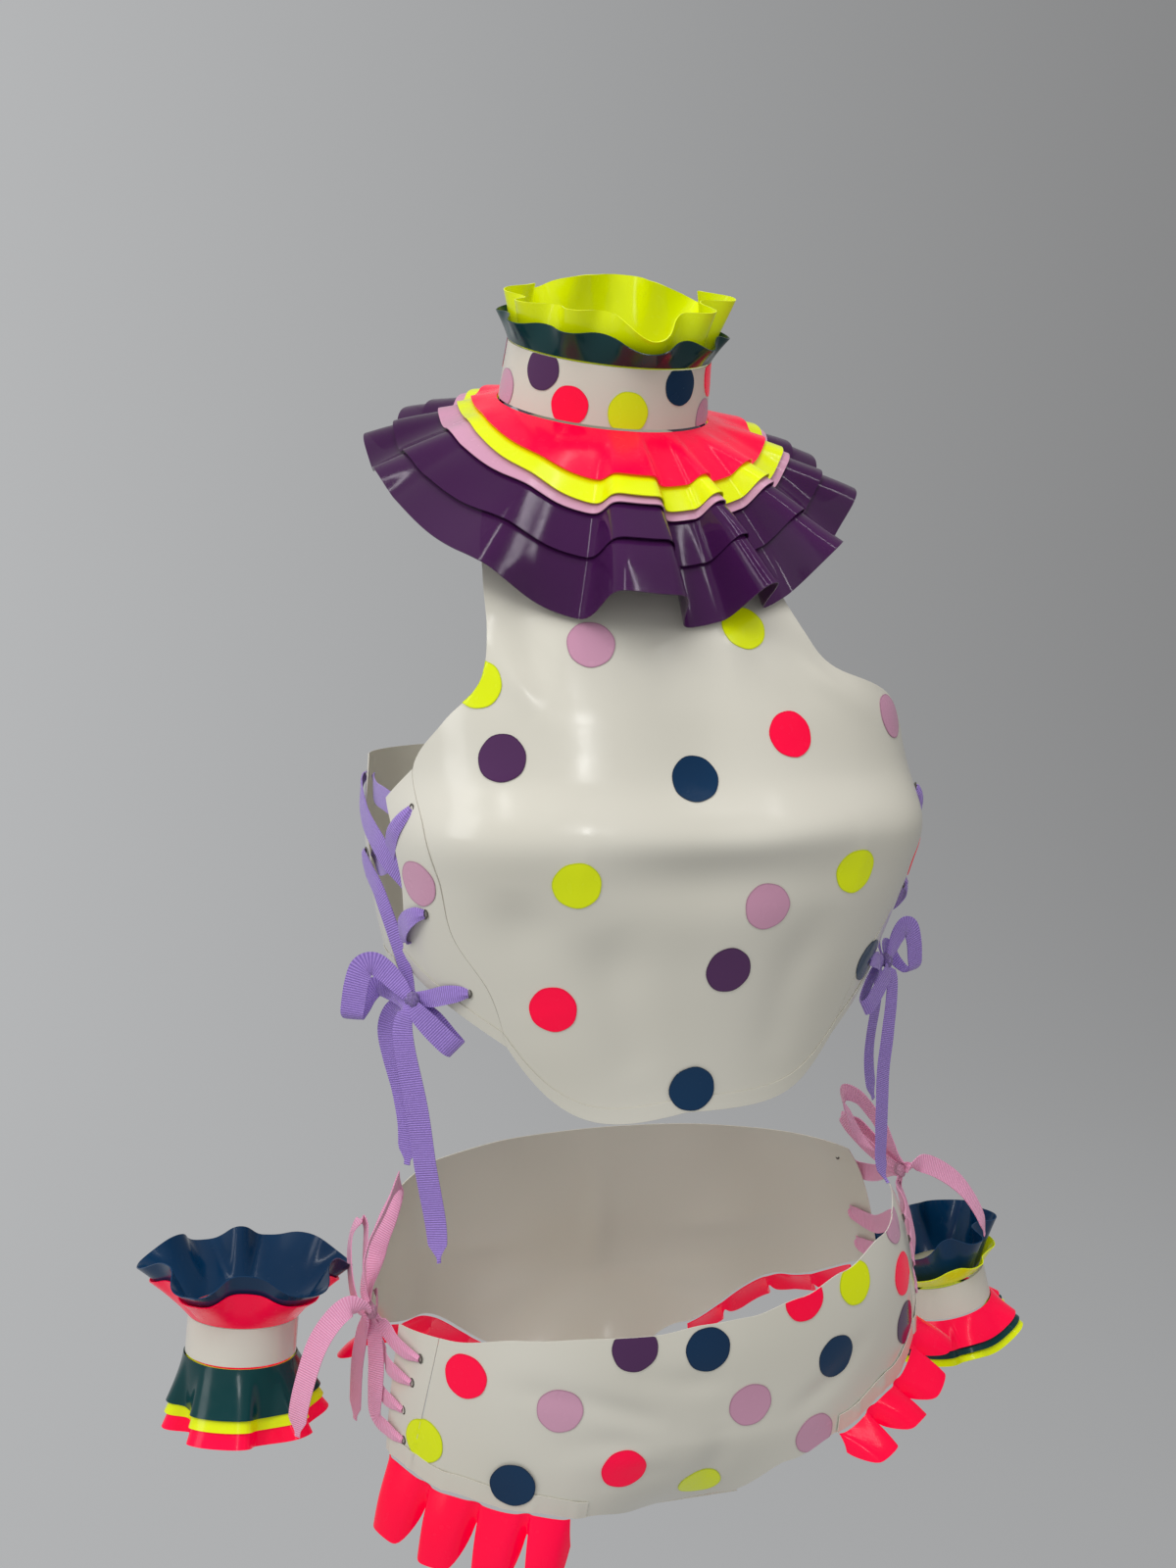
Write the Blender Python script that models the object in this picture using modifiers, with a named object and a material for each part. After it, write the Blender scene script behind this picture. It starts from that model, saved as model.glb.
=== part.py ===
"""Clown costume in latex: neck ruff, laced crop top, laced briefs with leg ruffles, and a pair of wrist cuffs.

The pieces keep the hollow form that they have when worn on a general figure. The origin is in the middle of the neck
band's lower rim: +Z up, -Y to the front, +X to the wearer's left. Every piece is a wall of cloth.
"""

import math
from typing import NamedTuple

import bmesh
import bpy
from mathutils import Matrix, Vector

CM = 0.01
WALL = 0.0011
RIBBON_WALL = 0.0010
GAP = 0.0003
SEAM = 0.13  # degrees of azimuth that part two panels by GAP at their seam

COLLECTION = "clown_costume"


class Finish(NamedTuple):
    """A material: linear colour, roughness and opacity."""

    red: float
    green: float
    blue: float
    roughness: float = 0.22
    alpha: float = 1.0


CREAM = Finish(0.76, 0.72, 0.60)
YELLOW = Finish(0.80, 0.90, 0.0)
TEAL = Finish(0.0, 0.055, 0.065)
NAVY = Finish(0.0, 0.040, 0.115)
RED = Finish(1.0, 0.0, 0.045)
PINK = Finish(0.68, 0.36, 0.50)
PURPLE = Finish(0.075, 0.022, 0.105, 0.18, 0.85)
LAVENDER = Finish(0.36, 0.22, 0.68, 0.6)
ROSE = Finish(0.86, 0.36, 0.55, 0.6)


# ---------------------------------------------------------------- the general figure


class Level(NamedTuple):
    """A section of the general figure, in centimetres: a rounded oval."""

    height: float
    centre_x: float
    centre_y: float
    half_width: float
    front: float
    back: float
    squareness: float


FIGURE = (
    Level(-5.0, 0.0, 1.0, 7.0, 5.8, 6.2, 2.0),
    Level(-8.5, 0.3, 0.0, 10.5, 6.9, 8.0, 2.1),
    Level(-12.0, 0.6, -0.8, 13.4, 8.4, 9.3, 2.3),
    Level(-16.0, 1.3, -1.0, 14.4, 9.8, 9.9, 2.4),
    Level(-19.5, 1.6, -1.0, 14.8, 10.9, 9.9, 2.4),
    Level(-22.5, 1.7, -1.0, 15.2, 12.1, 9.7, 2.6),
    Level(-25.0, 1.6, -1.0, 14.9, 11.6, 9.5, 2.5),
    Level(-29.0, 1.3, -0.9, 13.9, 10.6, 9.2, 2.4),
    Level(-33.0, 1.2, -0.8, 12.7, 9.9, 8.8, 2.3),
    Level(-37.0, 1.4, -0.5, 12.1, 9.7, 8.8, 2.2),
    Level(-42.0, 1.9, -0.2, 13.3, 10.2, 9.5, 2.2),
    Level(-46.0, 2.3, 0.0, 15.2, 10.6, 10.4, 2.2),
    Level(-50.0, 2.5, 0.0, 15.9, 10.8, 11.2, 2.2),
    Level(-54.0, 2.5, 0.2, 16.2, 10.6, 11.8, 2.2),
    Level(-58.0, 2.3, 0.3, 16.1, 10.2, 11.4, 2.2),
    Level(-62.0, 2.2, 0.3, 15.7, 9.6, 10.4, 2.2),
)


def smooth(rows: tuple, column: str, height: float) -> float:
    """A column's value at a height, on a smooth curve through the rows, which run downwards."""
    last = len(rows) - 2
    k = next((i for i in range(last) if height >= rows[i + 1].height), last)

    def slope(i: int) -> float:
        low, high = rows[min(i + 1, last + 1)], rows[max(i - 1, 0)]
        return (getattr(high, column) - getattr(low, column)) / (high.height - low.height)

    step = rows[k + 1].height - rows[k].height
    t = min(max((height - rows[k].height) / step, 0.0), 1.0)
    start, end = getattr(rows[k], column), getattr(rows[k + 1], column)
    return (
        (2 * t**3 - 3 * t**2 + 1) * start
        + (t**3 - 2 * t**2 + t) * step * slope(k)
        + (3 * t**2 - 2 * t**3) * end
        + (t**3 - t**2) * step * slope(k + 1)
    )


def on_figure(azimuth: float, height: float, ease: float = 0.0) -> Vector:
    """The point of the figure in this direction round it, 0 ahead and 90 to the wearer's left, ease outside it."""
    side, ahead = math.sin(math.radians(azimuth)), math.cos(math.radians(azimuth))
    wide = smooth(FIGURE, "half_width", height) + ease
    deep = smooth(FIGURE, "front" if ahead >= 0 else "back", height) + ease
    power = smooth(FIGURE, "squareness", height)
    reach = (abs(side / wide) ** power + abs(ahead / deep) ** power) ** (-1 / power)
    x = smooth(FIGURE, "centre_x", height) + reach * side
    y = smooth(FIGURE, "centre_y", height) - reach * ahead
    return Vector((x, y, height)) * CM


# ---------------------------------------------------------------- making cloth


def clear_scene() -> None:
    """Removes what the startup scene holds."""
    for old in list(bpy.data.objects):
        bpy.data.objects.remove(old, do_unlink=True)


def collection() -> bpy.types.Collection:
    """The collection that holds the costume."""
    found = bpy.data.collections.get(COLLECTION)
    if found is None:
        found = bpy.data.collections.new(COLLECTION)
        bpy.context.scene.collection.children.link(found)
    return found


def material(name: str, finish: Finish) -> bpy.types.Material:
    """A Principled material of the piece's own."""
    made = bpy.data.materials.new(name)
    made.use_nodes = True
    shader = made.node_tree.nodes["Principled BSDF"]
    shader.inputs["Base Color"].default_value = (finish.red, finish.green, finish.blue, 1.0)
    shader.inputs["Roughness"].default_value = finish.roughness
    shader.inputs["Metallic"].default_value = 0.0
    shader.inputs["Alpha"].default_value = finish.alpha
    return made


def cloth(name: str, rows: list, finish: Finish, ring: bool = False, wall: float = WALL) -> bpy.types.Object:
    """A wall of cloth on a grid of points, centred on it. A ring's rows close on themselves."""
    across = len(rows[0])
    columns = across if ring else across - 1
    faces = [
        (j * across + i, j * across + (i + 1) % across, (j + 1) * across + (i + 1) % across, (j + 1) * across + i)
        for j in range(len(rows) - 1)
        for i in range(columns)
    ]
    mesh = bpy.data.meshes.new(name)
    mesh.from_pydata([point for row in rows for point in row], [], faces)
    mesh.materials.append(material(name, finish))
    mesh.shade_smooth()
    piece = bpy.data.objects.new(name, mesh)
    collection().objects.link(piece)
    wall_of = piece.modifiers.new("wall", "SOLIDIFY")
    wall_of.thickness = wall
    wall_of.offset = 0.0
    wall_of.use_even_offset = True
    return piece


def blend(start: float, end: float, share: float) -> float:
    """Straight between two values."""
    return start + (end - start) * share


# ---------------------------------------------------------------- ruffles round a band


class Fold(NamedTuple):
    """A crest or a valley of a ruffle: where it is round the band, and how far it lies off the cone, in cm."""

    azimuth: float
    lift: float


class Round(NamedTuple):
    """A value that changes round a band: ahead, to the wearer's left, behind and to the right."""

    ahead: float
    left: float
    behind: float
    right: float

    def at(self, azimuth: float) -> float:
        """The value in this direction, eased between the four."""
        side, ahead = math.sin(math.radians(azimuth)), math.cos(math.radians(azimuth))
        deep = self.ahead if ahead >= 0 else self.behind
        wide = self.left if side >= 0 else self.right
        return ahead**2 * deep + side**2 * wide


def even(value: float) -> Round:
    """The same value all round."""
    return Round(value, value, value, value)


class Ruffle(NamedTuple):
    """A ruffle that leaves a band, in cm and degrees. Its slope is below the band's plane, or above where negative.

    The curl is how much it turns down for each cm, the lift is how deep its folds are 10 cm out, and the layer is how
    many ruffles lie over it.
    """

    name: str
    finish: Finish
    root_radius: float
    root_height: float
    length: Round
    slope: Round
    curl: float
    lift: float
    rows: int
    layer: int


LIFT_REACH = 10.0
LIFT_GROWTH = 1.35
PITCH_AT_ROOT, PITCH_PER_CM = 0.17, 0.010  # from one layer to the next


SAMPLES_PER_FOLD = 3


def even_folds(count: int, turn: float, uneven: float = 0.28) -> tuple:
    """Crests and valleys in turn, unevenly deep and spaced."""
    made = []
    for k in range(2 * count):
        drift = uneven * math.sin(2.4 * k + turn)
        height = 1.0 - uneven * (1 + math.sin(1.7 * k + 2 * turn)) / 1.4
        made.append(Fold(180 * (k + drift) / count + turn * 7, height if k % 2 else -height))
    return tuple(made)


def round_folds(folds: tuple) -> list:
    """(azimuth, lift) samples all round, with a soft curve between one fold and the next."""
    samples = []
    for k, fold in enumerate(folds):
        after = folds[(k + 1) % len(folds)]
        span = (after.azimuth - fold.azimuth) % 360
        for j in range(SAMPLES_PER_FOLD):
            share = j / SAMPLES_PER_FOLD
            soft = (1 - math.cos(math.pi * share)) / 2
            samples.append((fold.azimuth + span * share, blend(fold.lift, after.lift, soft)))
    return samples


def ruffle_rows(ruffle: Ruffle, folds: tuple, place: Matrix) -> list:
    """The grid of a ruffle: rows from its root to its edge. Folds open towards the edge."""
    samples = round_folds(folds)
    rows = []
    for j in range(ruffle.rows + 1):
        row = []
        for azimuth, lift in samples:
            run = ruffle.length.at(azimuth) * j / ruffle.rows
            root_slope = ruffle.slope.at(azimuth)
            chord = math.radians(root_slope + ruffle.curl * run / 2)
            slope = math.radians(root_slope + ruffle.curl * run)
            off = lift * ruffle.lift * (run / LIFT_REACH) ** LIFT_GROWTH
            off -= ruffle.layer * (PITCH_AT_ROOT + PITCH_PER_CM * run)
            radius = ruffle.root_radius + run * math.cos(chord) + off * math.sin(slope)
            height = ruffle.root_height - run * math.sin(chord) + off * math.cos(slope)
            around = math.radians(azimuth)
            row.append(place @ (Vector((radius * math.sin(around), -radius * math.cos(around), height)) * CM))
        rows.append(row)
    return rows


def band_rows(radius: float, low: float, high: float, taper: float, count: int, place: Matrix) -> list:
    """The two rims of a band, in cm. Taper is how much the upper rim is drawn in."""
    rows = []
    for height, rim in ((low, radius), (high, radius - taper)):
        row = []
        for k in range(count):
            around = 2 * math.pi * k / count
            row.append(place @ (Vector((rim * math.sin(around), -rim * math.cos(around), height)) * CM))
        rows.append(row)
    return rows


# ---------------------------------------------------------------- neck ruff

NECK_LEAN = math.radians(20)
NECK_TILT = math.radians(1.5)
NECK_RISE = 1.4  # the band's middle over the origin, cm
NECK = (
    Matrix.Translation(Vector((0, 0, NECK_RISE)) * CM)
    @ Matrix.Rotation(NECK_TILT, 4, "Y")
    @ Matrix.Rotation(NECK_LEAN, 4, "X")
)

COLLAR_RADIUS = 5.75
COLLAR_HALF_HEIGHT = 1.5
COLLAR_TAPER = 0.25
COLLAR_SIDES = 40
STACK = 0.17  # from one gathered root to the next

COLLAR_FOLDS = (
    Fold(-140, 0.75),
    Fold(-124, -0.7),
    Fold(-108, 0.5),
    Fold(-92, -0.35),
    Fold(-76, 0.4),
    Fold(-58, -0.2),
    Fold(-36, 0.2),
    Fold(-16, -0.75),
    Fold(-3, 0.95),
    Fold(9, -0.95),
    Fold(19, 0.85),
    Fold(29, -0.85),
    Fold(42, 0.95),
    Fold(56, -0.75),
    Fold(71, 0.8),
    Fold(88, -0.6),
    Fold(103, 0.8),
    Fold(117, -0.75),
    Fold(132, 0.9),
    Fold(147, -0.8),
    Fold(162, 0.85),
    Fold(177, -0.8),
    Fold(191, 0.85),
    Fold(205, -0.8),
)

COLLAR_SLOPE = Round(24, 12, 13, 17)
COLLAR_ROOT = -1.63
COLLAR_FALLING = (
    Ruffle("collar_red", RED, 5.85, COLLAR_ROOT, Round(3.8, 3.2, 3.4, 1.3), COLLAR_SLOPE, 1.4, 0.85, 2, 0),
    Ruffle("collar_yellow", YELLOW, 5.85, COLLAR_ROOT, Round(5.2, 4.3, 4.6, 2.1), COLLAR_SLOPE, 1.4, 0.85, 2, 1),
    Ruffle("collar_pink", PINK, 5.85, COLLAR_ROOT, Round(5.6, 4.8, 5.0, 3.3), COLLAR_SLOPE, 1.4, 0.85, 2, 2),
    Ruffle("collar_purple_mid", PURPLE, 5.85, COLLAR_ROOT, Round(8.0, 6.8, 7.2, 6.0), COLLAR_SLOPE, 1.4, 0.85, 3, 3),
    Ruffle("collar_purple_long", PURPLE, 5.85, COLLAR_ROOT, Round(11.3, 8.8, 9.6, 7.8), COLLAR_SLOPE, 1.4, 0.85, 4, 4),
)
COLLAR_STANDING = (
    Ruffle("collar_up_yellow", YELLOW, 5.30, 1.50, Round(2.7, 3.4, 3.2, 2.4), even(-83), -2.0, 3.0, 2, 0),
    Ruffle("collar_up_teal", TEAL, 5.55, 1.62, Round(1.6, 1.4, 1.6, 1.4), even(-68), -2.0, 3.6, 1, 0),
)


def neck_ruff() -> None:
    """The band with its standing and its falling ruffles."""
    band = band_rows(COLLAR_RADIUS, -COLLAR_HALF_HEIGHT, COLLAR_HALF_HEIGHT, COLLAR_TAPER, COLLAR_SIDES, NECK)
    cloth("collar_band", band, CREAM, ring=True)
    for ruffle in COLLAR_FALLING:
        cloth(ruffle.name, ruffle_rows(ruffle, COLLAR_FOLDS, NECK), ruffle.finish, ring=True)
    folds = even_folds(11, 0.9)
    for ruffle in COLLAR_STANDING:
        cloth(ruffle.name, ruffle_rows(ruffle, folds, NECK), ruffle.finish, ring=True)


# ---------------------------------------------------------------- wrist cuffs

CUFF_RADIUS = 2.95
CUFF_HALF_HEIGHT = 1.0
CUFF_SIDES = 24
CUFF_RIGHT = (
    Matrix.Translation(Vector((-20.6, 0.0, -50.4)) * CM)
    @ Matrix.Rotation(math.radians(6), 4, "Y")
    @ Matrix.Rotation(math.radians(-6), 4, "X")
)
CUFF_LEFT = (
    Matrix.Translation(Vector((23.4, 3.4, -54.3)) * CM)
    @ Matrix.Rotation(math.radians(-13), 4, "Y")
    @ Matrix.Rotation(math.radians(-5), 4, "X")
)

CUFF_RIGHT_FALL = Round(74, 64, 74, 84)
CUFF_RIGHT_RUFFLES = (
    Ruffle("cuff_R_up_navy", NAVY, 2.90, 1.20, even(3.6), even(-46), 0, 2.0, 1, 0),
    Ruffle("cuff_R_up_red", RED, 2.90, 1.20, even(2.6), even(-46), 0, 2.0, 1, 1),
    Ruffle("cuff_R_low_teal", TEAL, 3.02, -1.09, even(2.5), CUFF_RIGHT_FALL, 0, 1.2, 1, 0),
    Ruffle("cuff_R_low_yellow", YELLOW, 3.02, -1.09, even(3.1), CUFF_RIGHT_FALL, 0, 1.2, 1, 1),
    Ruffle("cuff_R_low_red", RED, 3.02, -1.09, even(3.9), CUFF_RIGHT_FALL, 0, 1.2, 1, 2),
)
CUFF_LEFT_RUFFLES = (
    Ruffle("cuff_L_up_navy", NAVY, 2.73, 1.06, even(3.1), even(-66), 0, 2.4, 1, 0),
    Ruffle("cuff_L_up_yellow", YELLOW, 2.95, 1.18, even(1.3), even(-46), 0, 2.4, 1, 0),
    Ruffle("cuff_L_low_red", RED, 3.02, -1.09, even(1.8), even(54), 0, 1.6, 1, 0),
    Ruffle("cuff_L_low_teal", TEAL, 3.02, -1.09, even(2.2), even(54), 0, 1.6, 1, 1),
    Ruffle("cuff_L_low_yellow", YELLOW, 3.02, -1.09, even(2.6), even(54), 0, 1.6, 1, 2),
)


def cuff(side: str, place: Matrix, ruffles: tuple, turn: float) -> None:
    """A wrist band with two standing and three falling ruffles."""
    band = band_rows(CUFF_RADIUS, -CUFF_HALF_HEIGHT, CUFF_HALF_HEIGHT, 0.0, CUFF_SIDES, place)
    cloth(f"cuff_{side}_band", band, CREAM, ring=True)
    standing, falling = even_folds(6, turn), even_folds(6, turn + 1.3)
    for ruffle in ruffles:
        folds = standing if "_up_" in ruffle.name else falling
        cloth(ruffle.name, ruffle_rows(ruffle, folds, place), ruffle.finish, ring=True)


# ---------------------------------------------------------------- crop top


class FrontRow(NamedTuple):
    """A row of the top's front: heights at the middle and both edges, the edges' azimuths, and how flat it runs.

    The sag is how much lower than evenly the row lies halfway to the right edge.
    """

    height: float
    right_height: float
    left_height: float
    right: float
    left: float
    flatness: float
    sag: float = 0.0


NECKBAND_RADIUS = 6.75
NECKBAND_LOW = -4.7
NECKBAND_HIGH = -3.5
NECKLINE_REACH = 74.0
NECKLINE_DROP = 0.12

TOP_FRONT = (
    FrontRow(-9.8, -7.6, -8.2, -64, 52, 2.0),
    FrontRow(-11.8, -9.8, -10.4, -57, 46.5, 2.0),
    FrontRow(-14.2, -12.2, -12.4, -52, 46, 2.0),
    FrontRow(-16.8, -14.8, -14.2, -52.5, 50, 2.0),
    FrontRow(-18.8, -16.8, -15.9, -60, 66, 2.0),
    FrontRow(-20.8, -19.2, -18.4, -67, 68.5, 2.2),
    FrontRow(-22.8, -22.0, -21.8, -60.5, 62, 2.6),
    FrontRow(-25.0, -24.4, -24.8, -58, 60, 2.4),
    FrontRow(-28.8, -27.4, -27.8, -57, 59, 2.0),
    FrontRow(-32.8, -30.2, -30.6, -50.5, 54, 2.6, 0.3),
    FrontRow(-36.8, -33.2, -33.8, -48, 50, 5.0, 0.5),
)
FRONT_COLUMNS = 18


class SideRow(NamedTuple):
    """A row of a laced side panel: its height and azimuth at the lacing. Its other end is on the front's edge."""

    height: float
    azimuth: float


TOP_SIDE_RIGHT = (
    SideRow(-20.8, -75.0),
    SideRow(-22.4, -70.0),
    SideRow(-24.4, -69.0),
    SideRow(-26.5, -70.5),
    SideRow(-28.2, -73.0),
    SideRow(-29.4, -75.0),
)
TOP_SIDE_LEFT = (
    SideRow(-19.8, 75.0),
    SideRow(-21.8, 73.0),
    SideRow(-24.2, 72.0),
    SideRow(-26.6, 72.0),
    SideRow(-28.4, 73.5),
    SideRow(-29.8, 74.5),
)
SIDE_FIRST_ROW = 5
SIDE_COLUMNS = 3


def front_point(row: FrontRow, share: float) -> Vector:
    """A point of the top's front on this row, from its right edge at 0 to its left edge at 1."""
    azimuth = blend(row.right, row.left, share)
    edge_share = azimuth / (row.left if azimuth > 0 else row.right)
    edge_height = row.left_height if azimuth > 0 else row.right_height
    height = blend(row.height, edge_height, abs(edge_share) ** row.flatness)
    if azimuth < 0:
        height -= row.sag * math.sin(math.pi * edge_share)
    return on_figure(azimuth, height, 0.05)


def neckline_row(columns: int, drop: float) -> list:
    """The points just under the neckband's lower rim, over the front half of the neck."""
    row = []
    for k in range(columns + 1):
        around = math.radians(blend(-NECKLINE_REACH, NECKLINE_REACH, k / columns))
        point = Vector((NECKBAND_RADIUS * math.sin(around), -NECKBAND_RADIUS * math.cos(around), drop)) * CM
        row.append(NECK @ point)
    return row


def top_side(name: str, rows: tuple, edge: str) -> None:
    """A laced side panel, between the front's edge and the lacing."""
    grid = []
    for front, laced in zip(TOP_FRONT[SIDE_FIRST_ROW:], rows):
        seam = getattr(front, edge)
        seam += math.copysign(SEAM, seam)
        seam_height = getattr(front, f"{edge}_height")
        line = []
        for k in range(SIDE_COLUMNS + 1):
            share = k / SIDE_COLUMNS
            height = blend(seam_height, laced.height, share)
            line.append(on_figure(blend(seam, laced.azimuth, share), height, 0.05))
        grid.append(line)
    if edge == "right":
        grid = [line[::-1] for line in grid]
    cloth(name, grid, CREAM)


BACK_RIGHT_TOP, BACK_RIGHT_LOW = -96.0, -80.0
BACK_LEFT_TOP, BACK_LEFT_LOW = 92.0, 80.0
BACK_TOP, BACK_LOW = -19.0, -30.3
BACK_ROWS, BACK_COLUMNS = 4, 20


def crop_top() -> None:
    """The halter top: neckband, front, laced side panels and back."""
    neckband = band_rows(NECKBAND_RADIUS, NECKBAND_LOW, NECKBAND_HIGH, 0.35, 28, NECK)
    cloth("top_neckband", neckband, CREAM, ring=True)
    grid = [neckline_row(FRONT_COLUMNS, NECKBAND_LOW - NECKLINE_DROP)]
    grid += [[front_point(row, k / FRONT_COLUMNS) for k in range(FRONT_COLUMNS + 1)] for row in TOP_FRONT]
    cloth("top_front", grid, CREAM)
    top_side("top_side_R", TOP_SIDE_RIGHT, "right")
    top_side("top_side_L", TOP_SIDE_LEFT, "left")
    back = []
    for j in range(BACK_ROWS + 1):
        down = j / BACK_ROWS
        start = blend(BACK_LEFT_TOP, BACK_LEFT_LOW, down)
        end = 360 + blend(BACK_RIGHT_TOP, BACK_RIGHT_LOW, down)
        height = blend(BACK_TOP, BACK_LOW, down)
        back.append([on_figure(blend(start, end, k / BACK_COLUMNS), height, 0.05) for k in range(BACK_COLUMNS + 1)])
    cloth("top_back", back, CREAM)


# ---------------------------------------------------------------- briefs


class WaistPoint(NamedTuple):
    """The briefs' edges in a direction round the figure, in cm: the waist, and the leg opening or crotch below."""

    azimuth: float
    waist: float
    leg: float


BRIEFS_EDGES = (
    WaistPoint(-180.0, -44.3, -60.2),
    WaistPoint(-150.0, -44.3, -58.4),
    WaistPoint(-124.0, -44.4, -54.8),
    WaistPoint(-98.0, -45.6, -52.6),
    WaistPoint(-75.0, -49.2, -56.7),
    WaistPoint(-62.0, -49.1, -57.5),
    WaistPoint(-46.0, -48.5, -58.1),
    WaistPoint(-30.0, -48.3, -58.7),
    WaistPoint(-15.0, -48.3, -59.4),
    WaistPoint(0.0, -48.0, -59.6),
    WaistPoint(13.0, -47.9, -59.0),
    WaistPoint(28.0, -47.4, -56.9),
    WaistPoint(42.0, -46.7, -55.9),
    WaistPoint(57.0, -45.8, -54.6),
    WaistPoint(75.0, -44.8, -52.6),
    WaistPoint(99.0, -44.4, -52.2),
    WaistPoint(124.0, -44.4, -54.8),
    WaistPoint(150.0, -44.3, -58.4),
    WaistPoint(180.0, -44.3, -60.2),
)
TUCK_DEPTH = 3.4
TUCK_HALF_WIDTH = 5.0
TUCK_START, TUCK_END = -54.5, -60.4


def edge_at(azimuth: float, column: str) -> float:
    """The height of the briefs' waist or leg edge in this direction, eased between the rows."""
    azimuth = (azimuth + 180) % 360 - 180
    k = next(i for i in range(len(BRIEFS_EDGES) - 1) if azimuth <= BRIEFS_EDGES[i + 1].azimuth)
    before, after = BRIEFS_EDGES[k], BRIEFS_EDGES[k + 1]
    share = (azimuth - before.azimuth) / (after.azimuth - before.azimuth)
    return blend(getattr(before, column), getattr(after, column), share * share * (3 - 2 * share))


def briefs_point(azimuth: float, share: float, ease: float = 0.05) -> Vector:
    """A point of the briefs from the waist at 0 to the leg edge at 1, drawn in towards the crotch low in the middle."""
    height = blend(edge_at(azimuth, "waist"), edge_at(azimuth, "leg"), share)
    point = on_figure(azimuth, height, ease)
    middle = smooth(FIGURE, "centre_x", height) * CM
    low = min(max((TUCK_START - height) / (TUCK_START - TUCK_END), 0.0), 1.0)
    inward = TUCK_DEPTH * CM * low**1.6 * math.exp(-(((point.x - middle) / (TUCK_HALF_WIDTH * CM)) ** 2))
    point.y += math.copysign(inward, -point.y)
    return point


class Side(NamedTuple):
    """Where a hip is cut: azimuths of the seam and the front's laced edge at the waist and at the leg, and the back's."""

    seam_waist: float
    seam_leg: float
    laced_waist: float
    laced_leg: float
    back_waist: float
    back_leg: float


HIP_RIGHT = Side(-64.0, -70.0, -75.0, -77.5, -98.0, -96.0)
HIP_LEFT = Side(66.0, 70.0, 79.0, 80.5, 100.0, 98.0)
BRIEFS_ROWS = 5
BRIEFS_COLUMNS = 18
GUSSET_FRONT_HALF, GUSSET_BACK_HALF = 3.4, 3.8
GUSSET_LOW = -61.8
GUSSET_ROWS, GUSSET_COLUMNS = 6, 4


def briefs_panel(name: str, start: tuple, end: tuple, columns: int) -> None:
    """A panel of the briefs between two cut edges, each given by its azimuths at the waist and at the leg."""
    grid = []
    for j in range(BRIEFS_ROWS + 1):
        share = j / BRIEFS_ROWS
        first, last = blend(*start, share), blend(*end, share)
        grid.append([briefs_point(blend(first, last, k / columns), share) for k in range(columns + 1)])
    cloth(name, grid, CREAM)


def gusset() -> None:
    """The strip under the crotch, from the front's lowest edge to the back's."""
    centre = smooth(FIGURE, "centre_x", TUCK_END) * CM
    front = briefs_point(0.0, 1.0)
    back = briefs_point(180.0, 1.0)
    front.z -= GAP + WALL / 2
    back.z -= GAP + WALL / 2
    grid = []
    for j in range(GUSSET_ROWS + 1):
        share = j / GUSSET_ROWS
        half = blend(GUSSET_FRONT_HALF, GUSSET_BACK_HALF, share) * CM
        sag = 4 * share * (1 - share)
        y = blend(front.y, back.y, share)
        z = blend(blend(front.z, back.z, share), GUSSET_LOW * CM, sag)
        line = []
        for k in range(GUSSET_COLUMNS + 1):
            off = 2 * k / GUSSET_COLUMNS - 1
            line.append(Vector((centre + off * half, y, z + 0.0035 * off * off * sag)))
        grid.append(line)
    cloth("briefs_gusset", grid, CREAM)


def briefs() -> None:
    """The briefs: front, laced side strips, back and gusset."""
    right, left = HIP_RIGHT, HIP_LEFT
    briefs_panel(
        "briefs_front", (right.seam_waist, right.seam_leg), (left.seam_waist, left.seam_leg), BRIEFS_COLUMNS
    )
    briefs_panel(
        "briefs_side_R",
        (right.laced_waist, right.laced_leg),
        (right.seam_waist - SEAM, right.seam_leg - SEAM),
        2,
    )
    briefs_panel(
        "briefs_side_L",
        (left.seam_waist + SEAM, left.seam_leg + SEAM),
        (left.laced_waist, left.laced_leg),
        2,
    )
    briefs_panel(
        "briefs_back",
        (left.back_waist, left.back_leg),
        (360 + right.back_waist, 360 + right.back_leg),
        BRIEFS_COLUMNS,
    )
    gusset()


# ---------------------------------------------------------------- leg ruffles


class LegRuffle(NamedTuple):
    """A row of flat tabs that hangs from a leg edge between two azimuths, in cm and degrees from straight down.

    The drop is how far its gathered root lies below the edge's last row.
    """

    name: str
    start: float
    end: float
    tabs: int
    length: float
    flare: float
    drop: float


LEG_RUFFLES = (
    LegRuffle("leg_ruffle_front_R", -76.5, -34.0, 4, 3.6, 8, 0.14),
    LegRuffle("leg_ruffle_front_L", 42.0, 79.0, 4, 2.3, 38, 0.16),
    LegRuffle("leg_ruffle_back_R", -150.0, -97.0, 5, 2.2, 30, 0.22),
    LegRuffle("leg_ruffle_back_L", 107.0, 150.0, 4, 2.0, 22, 0.20),
)
TAB_SHAPE = ((0.0, 0.0), (0.10, 0.75), (0.30, 1.0), (0.58, 1.0), (0.78, 0.75), (0.90, 0.0))
TAB_DEPTH = 0.95
TAB_ROOT_DEPTH = 0.15


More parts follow.
